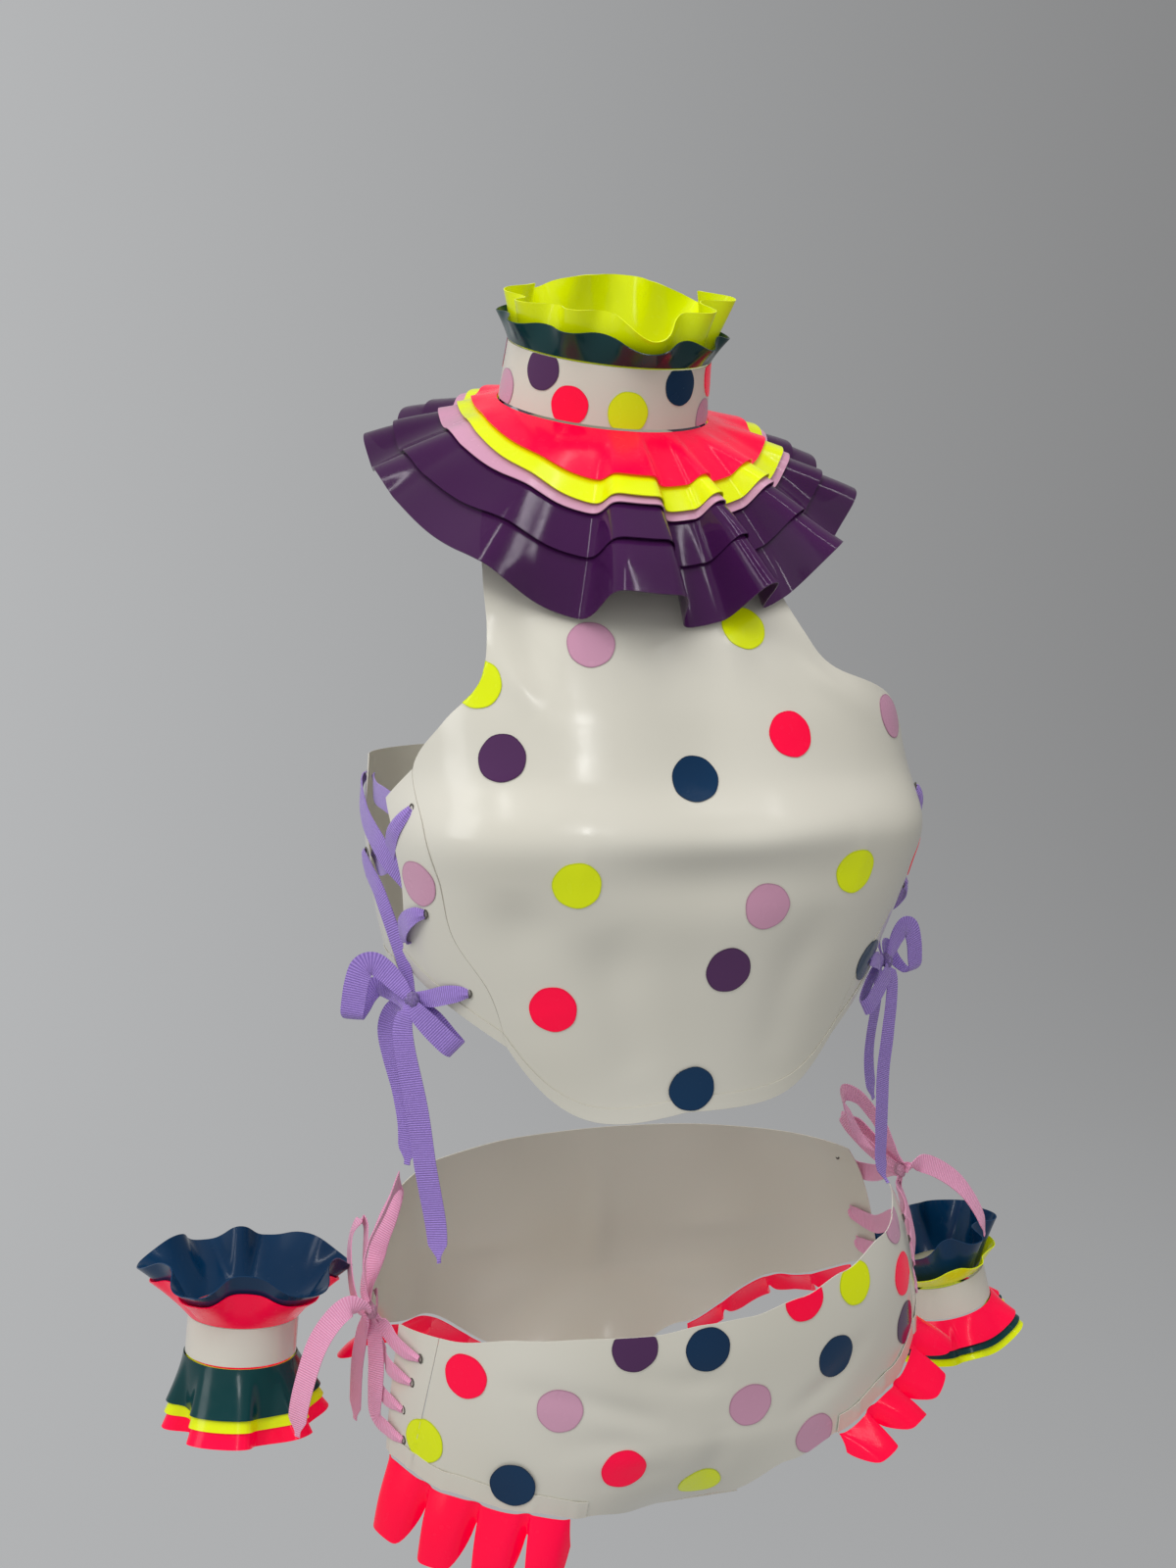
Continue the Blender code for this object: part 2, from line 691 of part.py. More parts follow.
def leg_ruffle(part: LegRuffle) -> None:
    """The tabs are one strip, folded out flat and back in. Its root is gathered just under the leg edge."""
    middle = FIGURE[-1].centre_x * CM
    flare = math.radians(part.flare)
    top, low = [], []
    for tab in range(part.tabs):
        for share, out in TAB_SHAPE:
            azimuth = blend(part.start, part.end, (tab + share) / part.tabs)
            root = briefs_point(azimuth, 1.0)
            outward = Vector((root.x - middle, root.y, 0.0)).normalized()
            root.z -= part.drop * CM
            top.append(root + outward * (TAB_ROOT_DEPTH * out) * CM)
            aside = part.length * math.sin(flare) + TAB_DEPTH * out * math.cos(flare)
            down = part.length * math.cos(flare) - TAB_DEPTH * out * math.sin(flare)
            low.append(root + (outward * aside - Vector((0.0, 0.0, down))) * CM)
    cloth(part.name, [top, low], RED)


# ---------------------------------------------------------------- ribbons


class Stay(NamedTuple):
    """A point that a ribbon passes: where it is round the figure, its height, how far off it lies, and its width, in cm."""

    azimuth: float
    height: float
    off: float
    width: float = 1.2


RIBBON_STEPS = 2
RIBBON_OFF = 0.27  # the first ribbon's middle, over the panels that it crosses
RIBBON_STACK = 0.20
EYELET_WIDTH = 0.5
EYELET_DROP = 0.3
LACE_WIDTHS = ((0.0, EYELET_WIDTH), (0.17, 0.9), (0.33, 1.15), (0.5, 1.2), (0.67, 1.15), (0.83, 0.9))
LACE_SETTLES = 0.4
TURN_LIMIT = 0.35  # below this share of its run along the figure a ribbon keeps its direction


def between(stays: tuple) -> list:
    """More points between the stays, on a smooth curve."""
    found = []
    for k in range(len(stays) - 1):
        around = [stays[min(max(k + j, 0), len(stays) - 1)] for j in (-1, 0, 1, 2)]
        for j in range(RIBBON_STEPS):
            t = j / RIBBON_STEPS
            weights = (
                (-(t**3) + 2 * t**2 - t) / 2,
                (3 * t**3 - 5 * t**2 + 2) / 2,
                (-3 * t**3 + 4 * t**2 + t) / 2,
                (t**3 - t**2) / 2,
            )
            found.append(Stay(*(sum(w * stay[c] for w, stay in zip(weights, around)) for c in range(4))))
    return [*found, stays[-1]]


def lace_stays(corners: tuple, layer: float) -> list:
    """A lace's points, zigzag between eyelets. It narrows at each, and turns back over itself."""
    base = RIBBON_OFF + layer * RIBBON_STACK
    found = []
    for k, ((azimuth, height), (next_azimuth, next_height)) in enumerate(zip(corners, corners[1:])):
        start = height - (EYELET_DROP if k else 0.0)
        for share, width in LACE_WIDTHS:
            off = base + (RIBBON_STACK if k and share < LACE_SETTLES else 0.0)
            found.append(Stay(blend(azimuth, next_azimuth, share), blend(start, next_height, share), off, width))
    return [*found, Stay(*corners[-1], base, EYELET_WIDTH)]


def ribbon(name: str, finish: Finish, stays: list) -> None:
    """A flat ribbon through its points, lying along the figure. Its edges keep their sides where it turns back."""
    middle = [on_figure(stay.azimuth, stay.height, stay.off) for stay in stays]
    sides = []
    for k, (stay, point) in enumerate(zip(stays, middle)):
        outward = (point - on_figure(stay.azimuth, stay.height, stay.off - 1.0)).normalized()
        run = middle[min(k + 1, len(middle) - 1)] - middle[max(k - 1, 0)]
        flat = run - outward * run.dot(outward)
        side = outward.cross(flat).normalized()
        if sides and flat.length < TURN_LIMIT * run.length:
            side = sides[-1]
        if sides and side.dot(sides[-1]) < 0:
            side = -side
        sides.append(side)
    edges = [(p - s * stay.width * CM / 2, p + s * stay.width * CM / 2) for p, s, stay in zip(middle, sides, stays)]
    cloth(name, [list(edge) for edge in edges], finish, wall=RIBBON_WALL)


def knot(name: str, finish: Finish, stay: Stay) -> None:
    """The tied middle of a bow."""
    mesh = bpy.data.meshes.new(name)
    form = bmesh.new()
    place = Matrix.Translation(on_figure(stay.azimuth, stay.height, stay.off))
    turned = Matrix.Rotation(math.radians(stay.azimuth), 4, "Z")
    shape = Matrix.Diagonal(Vector((*KNOT_HALF, 1.0))) * CM
    shape[3][3] = 1.0
    bmesh.ops.create_icosphere(form, subdivisions=2, radius=1.0, matrix=place @ turned @ shape)
    form.to_mesh(mesh)
    form.free()
    mesh.materials.append(material(name, finish))
    mesh.shade_smooth()
    collection().objects.link(bpy.data.objects.new(name, mesh))


class Lacing(NamedTuple):
    """One side's ribbon: two laces through the eyelets, and two ends that each make a loop and a tail from a knot."""

    name: str
    finish: Finish
    lace_a: tuple
    lace_b: tuple
    layer_b: float
    knot: Stay
    end_a: tuple
    end_b: tuple


KNOT_HALF = (0.55, 0.32, 0.48)
LACINGS = (
    Lacing(
        "top_ribbon_R",
        LAVENDER,
        ((-97.0, -20.2), (-71.5, -22.0), (-93.0, -25.0), (-78.5, -29.2)),
        ((-97.5, -21.4), (-68.5, -26.6), (-90.0, -27.9), (-76.0, -30.6)),
        2.0,
        Stay(-71.0, -31.3, 1.55),
        (
            Stay(-71.0, -31.3, 0.92, 0.6),
            Stay(-78.0, -30.4, 1.15),
            Stay(-88.0, -29.8, 1.3),
            Stay(-96.0, -31.0, 1.4),
            Stay(-98.0, -32.6, 1.7),
            Stay(-95.5, -31.2, 2.0),
            Stay(-87.0, -30.4, 1.9),
            Stay(-77.0, -30.9, 1.5),
            Stay(-71.0, -31.4, 1.14, 0.6),
            Stay(-70.5, -33.4, 1.1),
            Stay(-72.0, -37.0, 1.2),
            Stay(-68.0, -41.0, 1.0),
            Stay(-62.5, -44.6, 0.8, 1.1),
        ),
        (
            Stay(-71.0, -31.2, 0.56, 0.6),
            Stay(-65.0, -31.8, 0.7),
            Stay(-57.5, -32.8, 0.75),
            Stay(-54.5, -33.2, 1.0),
            Stay(-58.0, -32.4, 1.25),
            Stay(-65.0, -31.4, 1.05),
            Stay(-71.0, -31.3, 0.72, 0.6),
            Stay(-79.0, -33.2, 0.6),
            Stay(-88.0, -37.0, 0.5),
            Stay(-86.0, -41.4, 0.5, 1.1),
        ),
    ),
    Lacing(
        "top_ribbon_L",
        LAVENDER,
        ((94.0, -20.2), (70.5, -22.6), (92.0, -25.2), (77.5, -29.3)),
        ((95.0, -21.6), (69.5, -26.8), (90.0, -28.2), (80.5, -29.8)),
        2.5,
        Stay(76.0, -31.4, 1.55),
        (
            Stay(76.0, -31.4, 0.92, 0.6),
            Stay(70.0, -30.8, 1.15),
            Stay(63.0, -30.6, 1.25),
            Stay(59.0, -32.0, 1.55),
            Stay(63.0, -31.2, 1.8),
            Stay(70.0, -31.2, 1.5),
            Stay(76.0, -31.5, 1.14, 0.6),
            Stay(75.0, -33.6, 1.1),
            Stay(70.0, -37.2, 1.1),
            Stay(68.5, -41.0, 1.2),
            Stay(68.0, -44.8, 1.4, 1.1),
        ),
        (
            Stay(76.0, -31.3, 0.56, 0.6),
            Stay(83.0, -31.6, 0.7),
            Stay(91.0, -32.4, 0.75),
            Stay(94.5, -33.0, 1.0),
            Stay(90.0, -32.0, 1.25),
            Stay(83.0, -31.2, 1.05),
            Stay(76.0, -31.4, 0.72, 0.6),
            Stay(84.0, -33.6, 0.6),
            Stay(90.0, -37.0, 0.5),
            Stay(88.0, -41.0, 0.5, 1.1),
        ),
    ),
    Lacing(
        "briefs_ribbon_R",
        ROSE,
        ((-100.0, -46.8), (-73.0, -50.8), (-99.5, -49.6), (-74.0, -54.2), (-98.5, -52.0)),
        ((-79.5, -50.6), (-85.0, -53.0), (-76.5, -55.6)),
        2.0,
        Stay(-82.0, -48.6, 1.55),
        (
            Stay(-82.0, -48.6, 0.92, 0.6),
            Stay(-82.0, -46.6, 1.15),
            Stay(-79.0, -43.8, 1.2),
            Stay(-77.0, -41.9, 1.5),
            Stay(-80.0, -43.8, 1.9),
            Stay(-84.0, -46.6, 1.6),
            Stay(-82.5, -48.5, 1.14, 0.6),
            Stay(-89.0, -49.6, 1.7),
            Stay(-97.0, -51.4, 2.8),
            Stay(-103.0, -54.4, 3.7),
            Stay(-104.5, -57.8, 4.1, 1.1),
        ),
        (
            Stay(-82.0, -48.7, 0.56, 0.6),
            Stay(-88.0, -47.4, 0.66),
            Stay(-94.0, -46.2, 0.75),
            Stay(-97.0, -45.8, 1.0),
            Stay(-94.0, -46.8, 1.25),
            Stay(-88.0, -48.0, 0.90),
            Stay(-82.0, -48.6, 0.72, 0.6),
            Stay(-85.0, -51.0, 1.0),
            Stay(-88.5, -53.8, 1.1),
            Stay(-88.0, -56.0, 1.0, 1.1),
        ),
    ),
    Lacing(
        "briefs_ribbon_L",
        ROSE,
        ((101.5, -45.8), (78.0, -47.6), (101.0, -48.4), (78.5, -50.2), (100.0, -51.0)),
        ((86.0, -48.2), (90.5, -49.8), (82.5, -51.6)),
        2.0,
        Stay(94.0, -46.2, 1.63),
        (
            Stay(94.0, -46.2, 1.06, 0.6),
            Stay(95.5, -44.8, 1.20),
            Stay(99.0, -43.0, 1.25),
            Stay(101.0, -41.8, 1.5),
            Stay(98.5, -43.2, 1.85),
            Stay(95.0, -45.0, 1.6),
            Stay(94.0, -46.2, 1.22, 0.6),
            Stay(91.0, -48.4, 1.1),
            Stay(93.0, -50.4, 1.0, 1.1),
        ),
        (
            Stay(94.0, -46.2, 0.72, 0.6),
            Stay(90.5, -45.0, 0.70),
            Stay(88.5, -43.4, 0.72),
            Stay(88.0, -42.4, 0.90),
            Stay(88.5, -43.4, 1.10),
            Stay(91.0, -45.2, 0.92),
            Stay(94.0, -46.2, 0.88, 0.6),
            Stay(97.5, -48.4, 0.95),
            Stay(99.5, -50.4, 0.95, 1.1),
        ),
    ),
)


def lacing(part: Lacing) -> None:
    """The ribbon of one side: laces, knot, and both ends."""
    ribbon(f"{part.name}_lace_a", part.finish, lace_stays(part.lace_a, 0))
    ribbon(f"{part.name}_lace_b", part.finish, lace_stays(part.lace_b, part.layer_b))
    knot(f"{part.name}_knot", part.finish, part.knot)
    ribbon(f"{part.name}_end_a", part.finish, between(part.end_a))
    ribbon(f"{part.name}_end_b", part.finish, between(part.end_b))


def main() -> None:
    """Builds the whole costume."""
    clear_scene()
    neck_ruff()
    crop_top()
    briefs()
    for part in LEG_RUFFLES:
        leg_ruffle(part)
    cuff("R", CUFF_RIGHT, CUFF_RIGHT_RUFFLES, 0.4)
    cuff("L", CUFF_LEFT, CUFF_LEFT_RUFFLES, 2.1)
    for part in LACINGS:
        lacing(part)


main()
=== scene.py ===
"""Dresses the clown costume: latex neck ruff, laced crop top and briefs, leg ruffles, wrist cuffs, ribbons.

Every cloth piece is a thin shell on the form of its solid. Heights run from the lower rim of the neck band.
Tables are in centimetres and meshes in metres: +Z up, -Y to the front, +X to the wearer's left.
"""

import sys
import logging
import math
from dataclasses import dataclass, field, replace
from enum import Enum
from typing import NamedTuple

import bmesh
import bpy
import numpy as np
from mathutils import Matrix, Vector, noise
from mathutils.bvhtree import BVHTree


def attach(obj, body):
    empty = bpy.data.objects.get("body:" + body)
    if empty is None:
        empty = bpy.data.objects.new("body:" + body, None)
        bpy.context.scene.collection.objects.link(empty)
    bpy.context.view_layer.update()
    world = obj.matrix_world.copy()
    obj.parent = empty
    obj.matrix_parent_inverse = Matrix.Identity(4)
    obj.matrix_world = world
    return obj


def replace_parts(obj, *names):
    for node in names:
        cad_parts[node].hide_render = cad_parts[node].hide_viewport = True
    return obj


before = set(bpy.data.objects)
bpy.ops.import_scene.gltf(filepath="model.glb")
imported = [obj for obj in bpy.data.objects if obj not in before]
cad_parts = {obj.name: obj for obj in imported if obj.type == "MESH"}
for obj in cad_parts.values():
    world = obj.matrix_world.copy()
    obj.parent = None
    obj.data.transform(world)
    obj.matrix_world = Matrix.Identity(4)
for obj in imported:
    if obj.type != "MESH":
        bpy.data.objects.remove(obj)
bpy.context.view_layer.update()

BODY = "root"
CM = 0.01
SHEET_WALL = 0.0006  # sheet latex, a little heavier than its real 0.4 mm
RIBBON_WALL = 0.0006
Socket = bpy.types.NodeSocket
Piece = bpy.types.Object
log = logging.getLogger("costume")


# ---------------------------------------------------------------- finishes


class Nodes:
    """A material's node tree, with short calls to add and join its nodes."""

    def __init__(self, name: str) -> None:
        """Starts a material.

        Args:
            name: The material's name.
        """
        self.material = bpy.data.materials.new(name)
        self.material.use_nodes = True
        self.tree = self.material.node_tree
        self.shader = self.tree.nodes["Principled BSDF"]

    def add(self, kind: str, links: dict | None = None, **settings: object) -> bpy.types.Node:
        """Adds a node.

        Args:
            kind: The node's type, without its prefix.
            links: Input names with the sockets or the values that they take.
            **settings: The node's own properties.

        Returns:
            The node.
        """
        node = self.tree.nodes.new(f"ShaderNode{kind}")
        for key, value in settings.items():
            setattr(node, key, value)
        for key, value in (links or {}).items():
            self.put(node.inputs[key], value)
        return node

    def put(self, socket: Socket, value: object) -> None:
        """Sets a socket to a value, or links another node's socket to it."""
        if isinstance(value, Socket):
            self.tree.links.new(value, socket)
        else:
            socket.default_value = value

    def set(self, **values: object) -> None:
        """Sets the shader's own sockets, named with underscores for spaces."""
        for key, value in values.items():
            self.put(self.shader.inputs[key.replace("_", " ")], value)

    def noise(self, vector: object, scale: float, detail: float = 2.0, rough: float = 0.5) -> Socket:
        """A noise value on a vector.

        Args:
            vector: The socket that gives the place.
            scale: Features to a metre.
            detail: Octaves.
            rough: How strong the finer octaves are.

        Returns:
            The noise's value.
        """
        links = {"Vector": vector, "Scale": scale, "Detail": detail, "Roughness": rough}
        return self.add("TexNoise", links).outputs["Fac"]

    def ramp(self, value: object, low: float, high: float, to_low: float, to_high: float) -> Socket:
        """A value mapped from one range to another, and held inside it."""
        links = {"Value": value, "From Min": low, "From Max": high, "To Min": to_low, "To Max": to_high}
        return self.add("MapRange", links).outputs["Result"]

    def mixed(self, factor: object, first: object, second: object) -> Socket:
        """A colour between two, by a factor."""
        node = self.add("Mix", data_type="RGBA")
        self.put(node.inputs[0], factor)
        self.put(node.inputs[6], first)
        self.put(node.inputs[7], second)
        return node.outputs[2]

    def bump(self, height: object, distance: float, strength: float, under: object = None) -> Socket:
        """A bumped normal, over another one where it is given."""
        node = self.add("Bump", {"Height": height, "Distance": distance, "Strength": strength})
        if under is not None:
            self.put(node.inputs["Normal"], under)
        return node.outputs["Normal"]


@dataclass(frozen=True)
class Latex:
    """Glossy sheet latex: its colour, a deeper tone of it, its gloss, and how opaque it is.

    The glow is painted light: an emission in the sheet's own tone that stands in for the light a fluorescent
    sheet gives back. A dot's sheet can darken at its rim, as painted shade along its raised edge and as its glue
    line.
    """

    slot: str
    tone: tuple
    deep: tuple
    roughness: tuple = (0.17, 0.30)
    alpha: float = 1.0
    gloss: float = 0.22
    glow: float = 0.0
    edged: bool = False

    def material(self) -> bpy.types.Material:
        """The material, made once and shared.

        Returns:
            Soft uneven gloss from the sheet's slight waves and from dust on it, and a little drift in colour.
        """
        name = f"{self.slot}_{'edged' if self.edged else 'sheet'}"
        if name in bpy.data.materials:
            return bpy.data.materials[name]
        nodes = Nodes(name)
        place = nodes.add("TexCoord").outputs["Object"]
        drift = nodes.ramp(nodes.noise(place, 9.0, 1.0), 0.35, 0.68, 0.0, 1.0)
        color = nodes.mixed(drift, (*self.tone, 1.0), (*self.deep, 1.0))
        dust = nodes.noise(place, 170.0, 1.0, 0.62)
        if self.edged:
            # Painted shade: a dot darkens towards its rim, standing in for the shadow along its raised edge,
            # together with its glue line.
            across = nodes.add("VectorMath", {0: nodes.add("UVMap").outputs["UV"]}, operation="LENGTH")
            rim = nodes.ramp(across.outputs["Value"], 0.93, 1.0, 0.0, 0.55)
            dark = tuple(0.45 * part for part in self.deep)
            color = nodes.mixed(rim, color, (*dark, 1.0))
        nodes.set(Base_Color=color, Roughness=nodes.ramp(dust, 0.3, 0.72, *self.roughness))
        waves = nodes.bump(nodes.noise(place, 32.0, 0.0), 0.0012, 0.22)
        nodes.set(Normal=waves, Specular_IOR_Level=self.gloss, IOR=1.52)
        nodes.set(Coat_Weight=0.22, Coat_Roughness=0.13, Alpha=self.alpha)
        # Painted light: the sheet glows in its own tone, though it is no lamp.
        if self.glow:
            nodes.set(Emission_Color=(*self.tone, 1.0), Emission_Strength=self.glow)
            nodes.material.cycles.emission_sampling = "NONE"
        return nodes.material


@dataclass(frozen=True)
class Grosgrain:
    """Woven ribbon with ribs across it."""

    slot: str
    tone: tuple
    deep: tuple
    rib: float = 0.00125

    def material(self) -> bpy.types.Material:
        """The material, made once and shared.

        Returns:
            Ribs across the ribbon on its own UV map in metres, and a soft sheen.
        """
        name = f"{self.slot}_weave"
        if name in bpy.data.materials:
            return bpy.data.materials[name]
        nodes = Nodes(name)
        apart = nodes.add("SeparateXYZ", {0: nodes.add("UVMap").outputs["UV"]})
        turn = nodes.add("Math", {0: apart.outputs["Y"], 1: 2 * math.pi / self.rib}, operation="MULTIPLY")
        wave = nodes.add("Math", {0: turn.outputs[0]}, operation="SINE").outputs[0]
        rib = nodes.ramp(wave, -1.0, 1.0, 0.0, 1.0)
        place = nodes.add("TexCoord").outputs["Object"]
        fibre = nodes.noise(place, 900.0, 2.0)
        color = nodes.mixed(rib, (*self.deep, 1.0), (*self.tone, 1.0))
        shade = nodes.ramp(fibre, 0.3, 0.7, 0.0, 0.35)
        color = nodes.mixed(shade, color, (*self.deep, 1.0))
        weave = nodes.bump(rib, 0.00035, 0.8)
        nodes.set(Base_Color=color, Roughness=nodes.ramp(fibre, 0.2, 0.8, 0.5, 0.7))
        nodes.set(Normal=nodes.bump(fibre, 0.00008, 0.3, weave), Sheen_Weight=0.35, Sheen_Roughness=0.4)
        return nodes.material


@dataclass(frozen=True)
class Plain:
    """A matt surface with a faint mottle, for the rims of the lace holes, painted dark as the shade in a hole."""

    slot: str
    tone: tuple
    roughness: float

    def material(self) -> bpy.types.Material:
        """The material, made once and shared."""
        name = f"{self.slot}_plain"
        if name in bpy.data.materials:
            return bpy.data.materials[name]
        nodes = Nodes(name)
        mottle = nodes.noise(nodes.add("TexCoord").outputs["Object"], 3.0, 0.0)
        dark = tuple(0.94 * part for part in self.tone)
        color = nodes.mixed(nodes.ramp(mottle, 0.3, 0.7, 0.0, 1.0), (*dark, 1.0), (*self.tone, 1.0))
        nodes.set(Base_Color=color, Roughness=self.roughness)
        return nodes.material


@dataclass(frozen=True)
class Backdrop:
    """A pale wall that glows softly so that its light stays even and costs little. The glow is painted light,
    lighter on one side and darker on the other as painted shade.
    """

    slot: str
    light: tuple
    dark: tuple

    def material(self) -> bpy.types.Material:
        """The material: painted shade, a slow change from the lighter to the darker glow along X."""
        nodes = Nodes(f"{self.slot}_wall")
        apart = nodes.add("SeparateXYZ", {0: nodes.add("TexCoord").outputs["Object"]})
        side = nodes.ramp(apart.outputs["X"], -1.4, 3.8, 0.0, 1.0)
        glow = nodes.mixed(side, (*self.light, 1.0), (*self.dark, 1.0))
        nodes.set(Base_Color=(0.0, 0.0, 0.0, 1.0), Roughness=1.0, Specular_IOR_Level=0.0)
        nodes.set(Emission_Color=glow, Emission_Strength=1.04)
        nodes.material.cycles.emission_sampling = "NONE"
        return nodes.material


class Shade(Enum):
    """The latex sheets and the ribbons that the costume is made from."""

    CREAM = Latex("cream_latex", (0.74, 0.715, 0.625), (0.69, 0.665, 0.57), (0.16, 0.26), gloss=0.4)
    YELLOW = Latex("yellow_latex", (0.80, 0.90, 0.0), (0.70, 0.82, 0.0), glow=0.06)
    TEAL = Latex("teal_latex", (0.0, 0.046, 0.050), (0.0, 0.030, 0.034), (0.14, 0.26))
    NAVY = Latex("navy_latex", (0.0, 0.036, 0.105), (0.0, 0.024, 0.074), (0.16, 0.28))
    RED = Latex("red_latex", (1.0, 0.0, 0.055), (0.92, 0.0, 0.040), gloss=0.12, glow=0.20)
    PINK = Latex("pale_pink_latex", (0.68, 0.36, 0.50), (0.58, 0.28, 0.41))
    PURPLE = Latex("purple_latex", (0.062, 0.011, 0.078), (0.044, 0.007, 0.056), (0.09, 0.15), alpha=0.84)
    LAVENDER = Grosgrain("lavender_ribbon", (0.50, 0.33, 0.86), (0.25, 0.15, 0.52))
    ROSE = Grosgrain("rose_ribbon", (1.0, 0.50, 0.72), (0.86, 0.32, 0.52))


DOT_TONES = {"PURPLE": {"tone": (0.095, 0.030, 0.112), "deep": (0.075, 0.022, 0.090)}}
# The dots are opaque, and their rims are darkened as painted shade and glue line.
DOT_SHADES = {
    shade: replace(shade.value, edged=True, alpha=1.0, **DOT_TONES.get(shade.name, {}))
    for shade in (Shade.YELLOW, Shade.NAVY, Shade.RED, Shade.PINK, Shade.PURPLE)
}


# ---------------------------------------------------------------- the general figure


class Level(NamedTuple):
    """A section of the general figure, in centimetres: a rounded oval."""

    height: float
    centre_x: float
    centre_y: float
    half_width: float
    front: float
    back: float
    squareness: float


FIGURE = (
    Level(-5.0, 0.0, 1.0, 7.0, 5.8, 6.2, 2.0),
    Level(-8.5, 0.3, 0.0, 10.5, 6.9, 8.0, 2.1),
    Level(-12.0, 0.6, -0.8, 13.4, 8.4, 9.3, 2.3),
    Level(-16.0, 1.3, -1.0, 14.4, 9.8, 9.9, 2.4),
    Level(-19.5, 1.6, -1.0, 14.8, 10.9, 9.9, 2.4),
    Level(-22.5, 1.7, -1.0, 15.2, 12.1, 9.7, 2.6),
    Level(-25.0, 1.6, -1.0, 14.9, 11.6, 9.5, 2.5),
    Level(-29.0, 1.3, -0.9, 13.9, 10.6, 9.2, 2.4),
    Level(-33.0, 1.2, -0.8, 12.7, 9.9, 8.8, 2.3),
    Level(-37.0, 1.4, -0.5, 12.1, 9.7, 8.8, 2.2),
    Level(-42.0, 1.9, -0.2, 13.3, 10.2, 9.5, 2.2),
    Level(-46.0, 2.3, 0.0, 15.2, 10.6, 10.4, 2.2),
    Level(-50.0, 2.5, 0.0, 15.9, 10.8, 11.2, 2.2),
    Level(-54.0, 2.5, 0.2, 16.2, 10.6, 11.8, 2.2),
    Level(-58.0, 2.3, 0.3, 16.1, 10.2, 11.4, 2.2),
    Level(-62.0, 2.2, 0.3, 15.7, 9.6, 10.4, 2.2),
)


def smooth(rows: tuple, column: str, height: float) -> float:
    """A column's value at a height, on a smooth curve through the rows, which run downwards.

    Args:
        rows: The sections.
        column: The name of the value.
        height: The height in cm.

    Returns:
        The value.
    """
    last = len(rows) - 2
    k = next((i for i in range(last) if height >= rows[i + 1].height), last)

    def slope(i: int) -> float:
        """The curve's slope at a row."""
        low, high = rows[min(i + 1, last + 1)], rows[max(i - 1, 0)]
        return (getattr(high, column) - getattr(low, column)) / (high.height - low.height)

    step = rows[k + 1].height - rows[k].height
    t = limited((height - rows[k].height) / step, 0.0, 1.0)
    start, end = getattr(rows[k], column), getattr(rows[k + 1], column)
    return (
        (2 * t**3 - 3 * t**2 + 1) * start
        + (t**3 - 2 * t**2 + t) * step * slope(k)
        + (3 * t**2 - 2 * t**3) * end
        + (t**3 - t**2) * step * slope(k + 1)
    )


def on_figure(azimuth: float, height: float, ease: float = 0.0) -> Vector:
    """The point of the figure in this direction round it.

    Args:
        azimuth: The direction in degrees, 0 ahead and 90 to the wearer's left.
        height: The height in cm.
        ease: How far outside the figure it lies, in cm.

    Returns:
        The point in metres.
    """
    side, ahead = math.sin(math.radians(azimuth)), math.cos(math.radians(azimuth))
    wide = smooth(FIGURE, "half_width", height) + ease
    deep = smooth(FIGURE, "front" if ahead >= 0 else "back", height) + ease
    power = smooth(FIGURE, "squareness", height)
    reach = (abs(side / wide) ** power + abs(ahead / deep) ** power) ** (-1 / power)
    x = smooth(FIGURE, "centre_x", height) + reach * side
    y = smooth(FIGURE, "centre_y", height) - reach * ahead
    return Vector((x, y, height)) * CM


def blend(start: float, end: float, share: float) -> float:
    """Straight between two values."""
    return start + (end - start) * share


def limited(value: float, low: float, high: float) -> float:
    """The value, or the limit that it passes."""
    return min(max(value, low), high)


def placed(points: np.ndarray, place: Matrix) -> np.ndarray:
    """Points moved to a band's place."""
    turned = np.array(place)
    return points @ turned[:3, :3].T + turned[:3, 3]


def lengths_along(line: np.ndarray) -> np.ndarray:
    """How far along a line of points each of them lies, in the line's own units."""
    return np.concatenate([[0.0], np.cumsum(np.linalg.norm(np.diff(line, axis=0), axis=1))])


# ---------------------------------------------------------------- making sheets


def curve_at(near: np.ndarray, t: float) -> np.ndarray:
    """The point between the middle two of four neighbouring knots, on the smooth curve through them."""
    a, b, c, d = near
    return 0.5 * (2 * b + (c - a) * t + (2 * a - 5 * b + 4 * c - d) * t**2 + (3 * b - a - 3 * c + d) * t**3)


def catmull(knots: np.ndarray, steps: int, ring: bool = False) -> np.ndarray:
    """Points on a smooth curve through knots, along their first axis.

    Args:
        knots: The knots, each a row of numbers or a row of points.
        steps: How many steps lie from one knot to the next.
        ring: Whether the last knot joins the first.

    Returns:
        The knots with the points between them.
    """
    count = len(knots)
    if ring:
        padded = np.concatenate([knots[-1:], knots, knots[:2]])
    else:
        padded = np.concatenate([2 * knots[:1] - knots[1:2], knots, 2 * knots[-1:] - knots[-2:-1]])
    spans = range(count if ring else count - 1)
    found = [curve_at(padded[k : k + 4], j / steps) for k in spans for j in range(steps)]
    if not ring:
        found.append(knots[-1])
    return np.array(found)


def table_at(rows: tuple, place: float) -> list:
    """The columns of a table at a place between its rows, on smooth curves."""
    k = min(int(place), len(rows) - 2)
    near = np.array([rows[min(max(k + j, 0), len(rows) - 1)] for j in (-1, 0, 1, 2)], float)
    if k == 0:
        near[0] = 2 * near[1] - near[2]
    if k == len(rows) - 2:
        near[3] = 2 * near[2] - near[1]
    return list(curve_at(near, place - k))


def normals_of(grid: np.ndarray, ring: bool = False) -> np.ndarray:
    """The outward unit normals of a grid of points.

    Args:
        grid: Rows of points, the first row at the top of a falling piece.
        ring: Whether each row closes on itself.

    Returns:
        One normal for each point, away from the costume's middle on the whole.
    """
    down = np.gradient(grid, axis=0)
    if ring:
        across = (np.roll(grid, -1, 1) - np.roll(grid, 1, 1)) / 2
    else:
        across = np.gradient(grid, axis=1)
    normal = np.cross(down, across)
    normal /= np.maximum(np.linalg.norm(normal, axis=2, keepdims=True), 1e-12)
    return normal


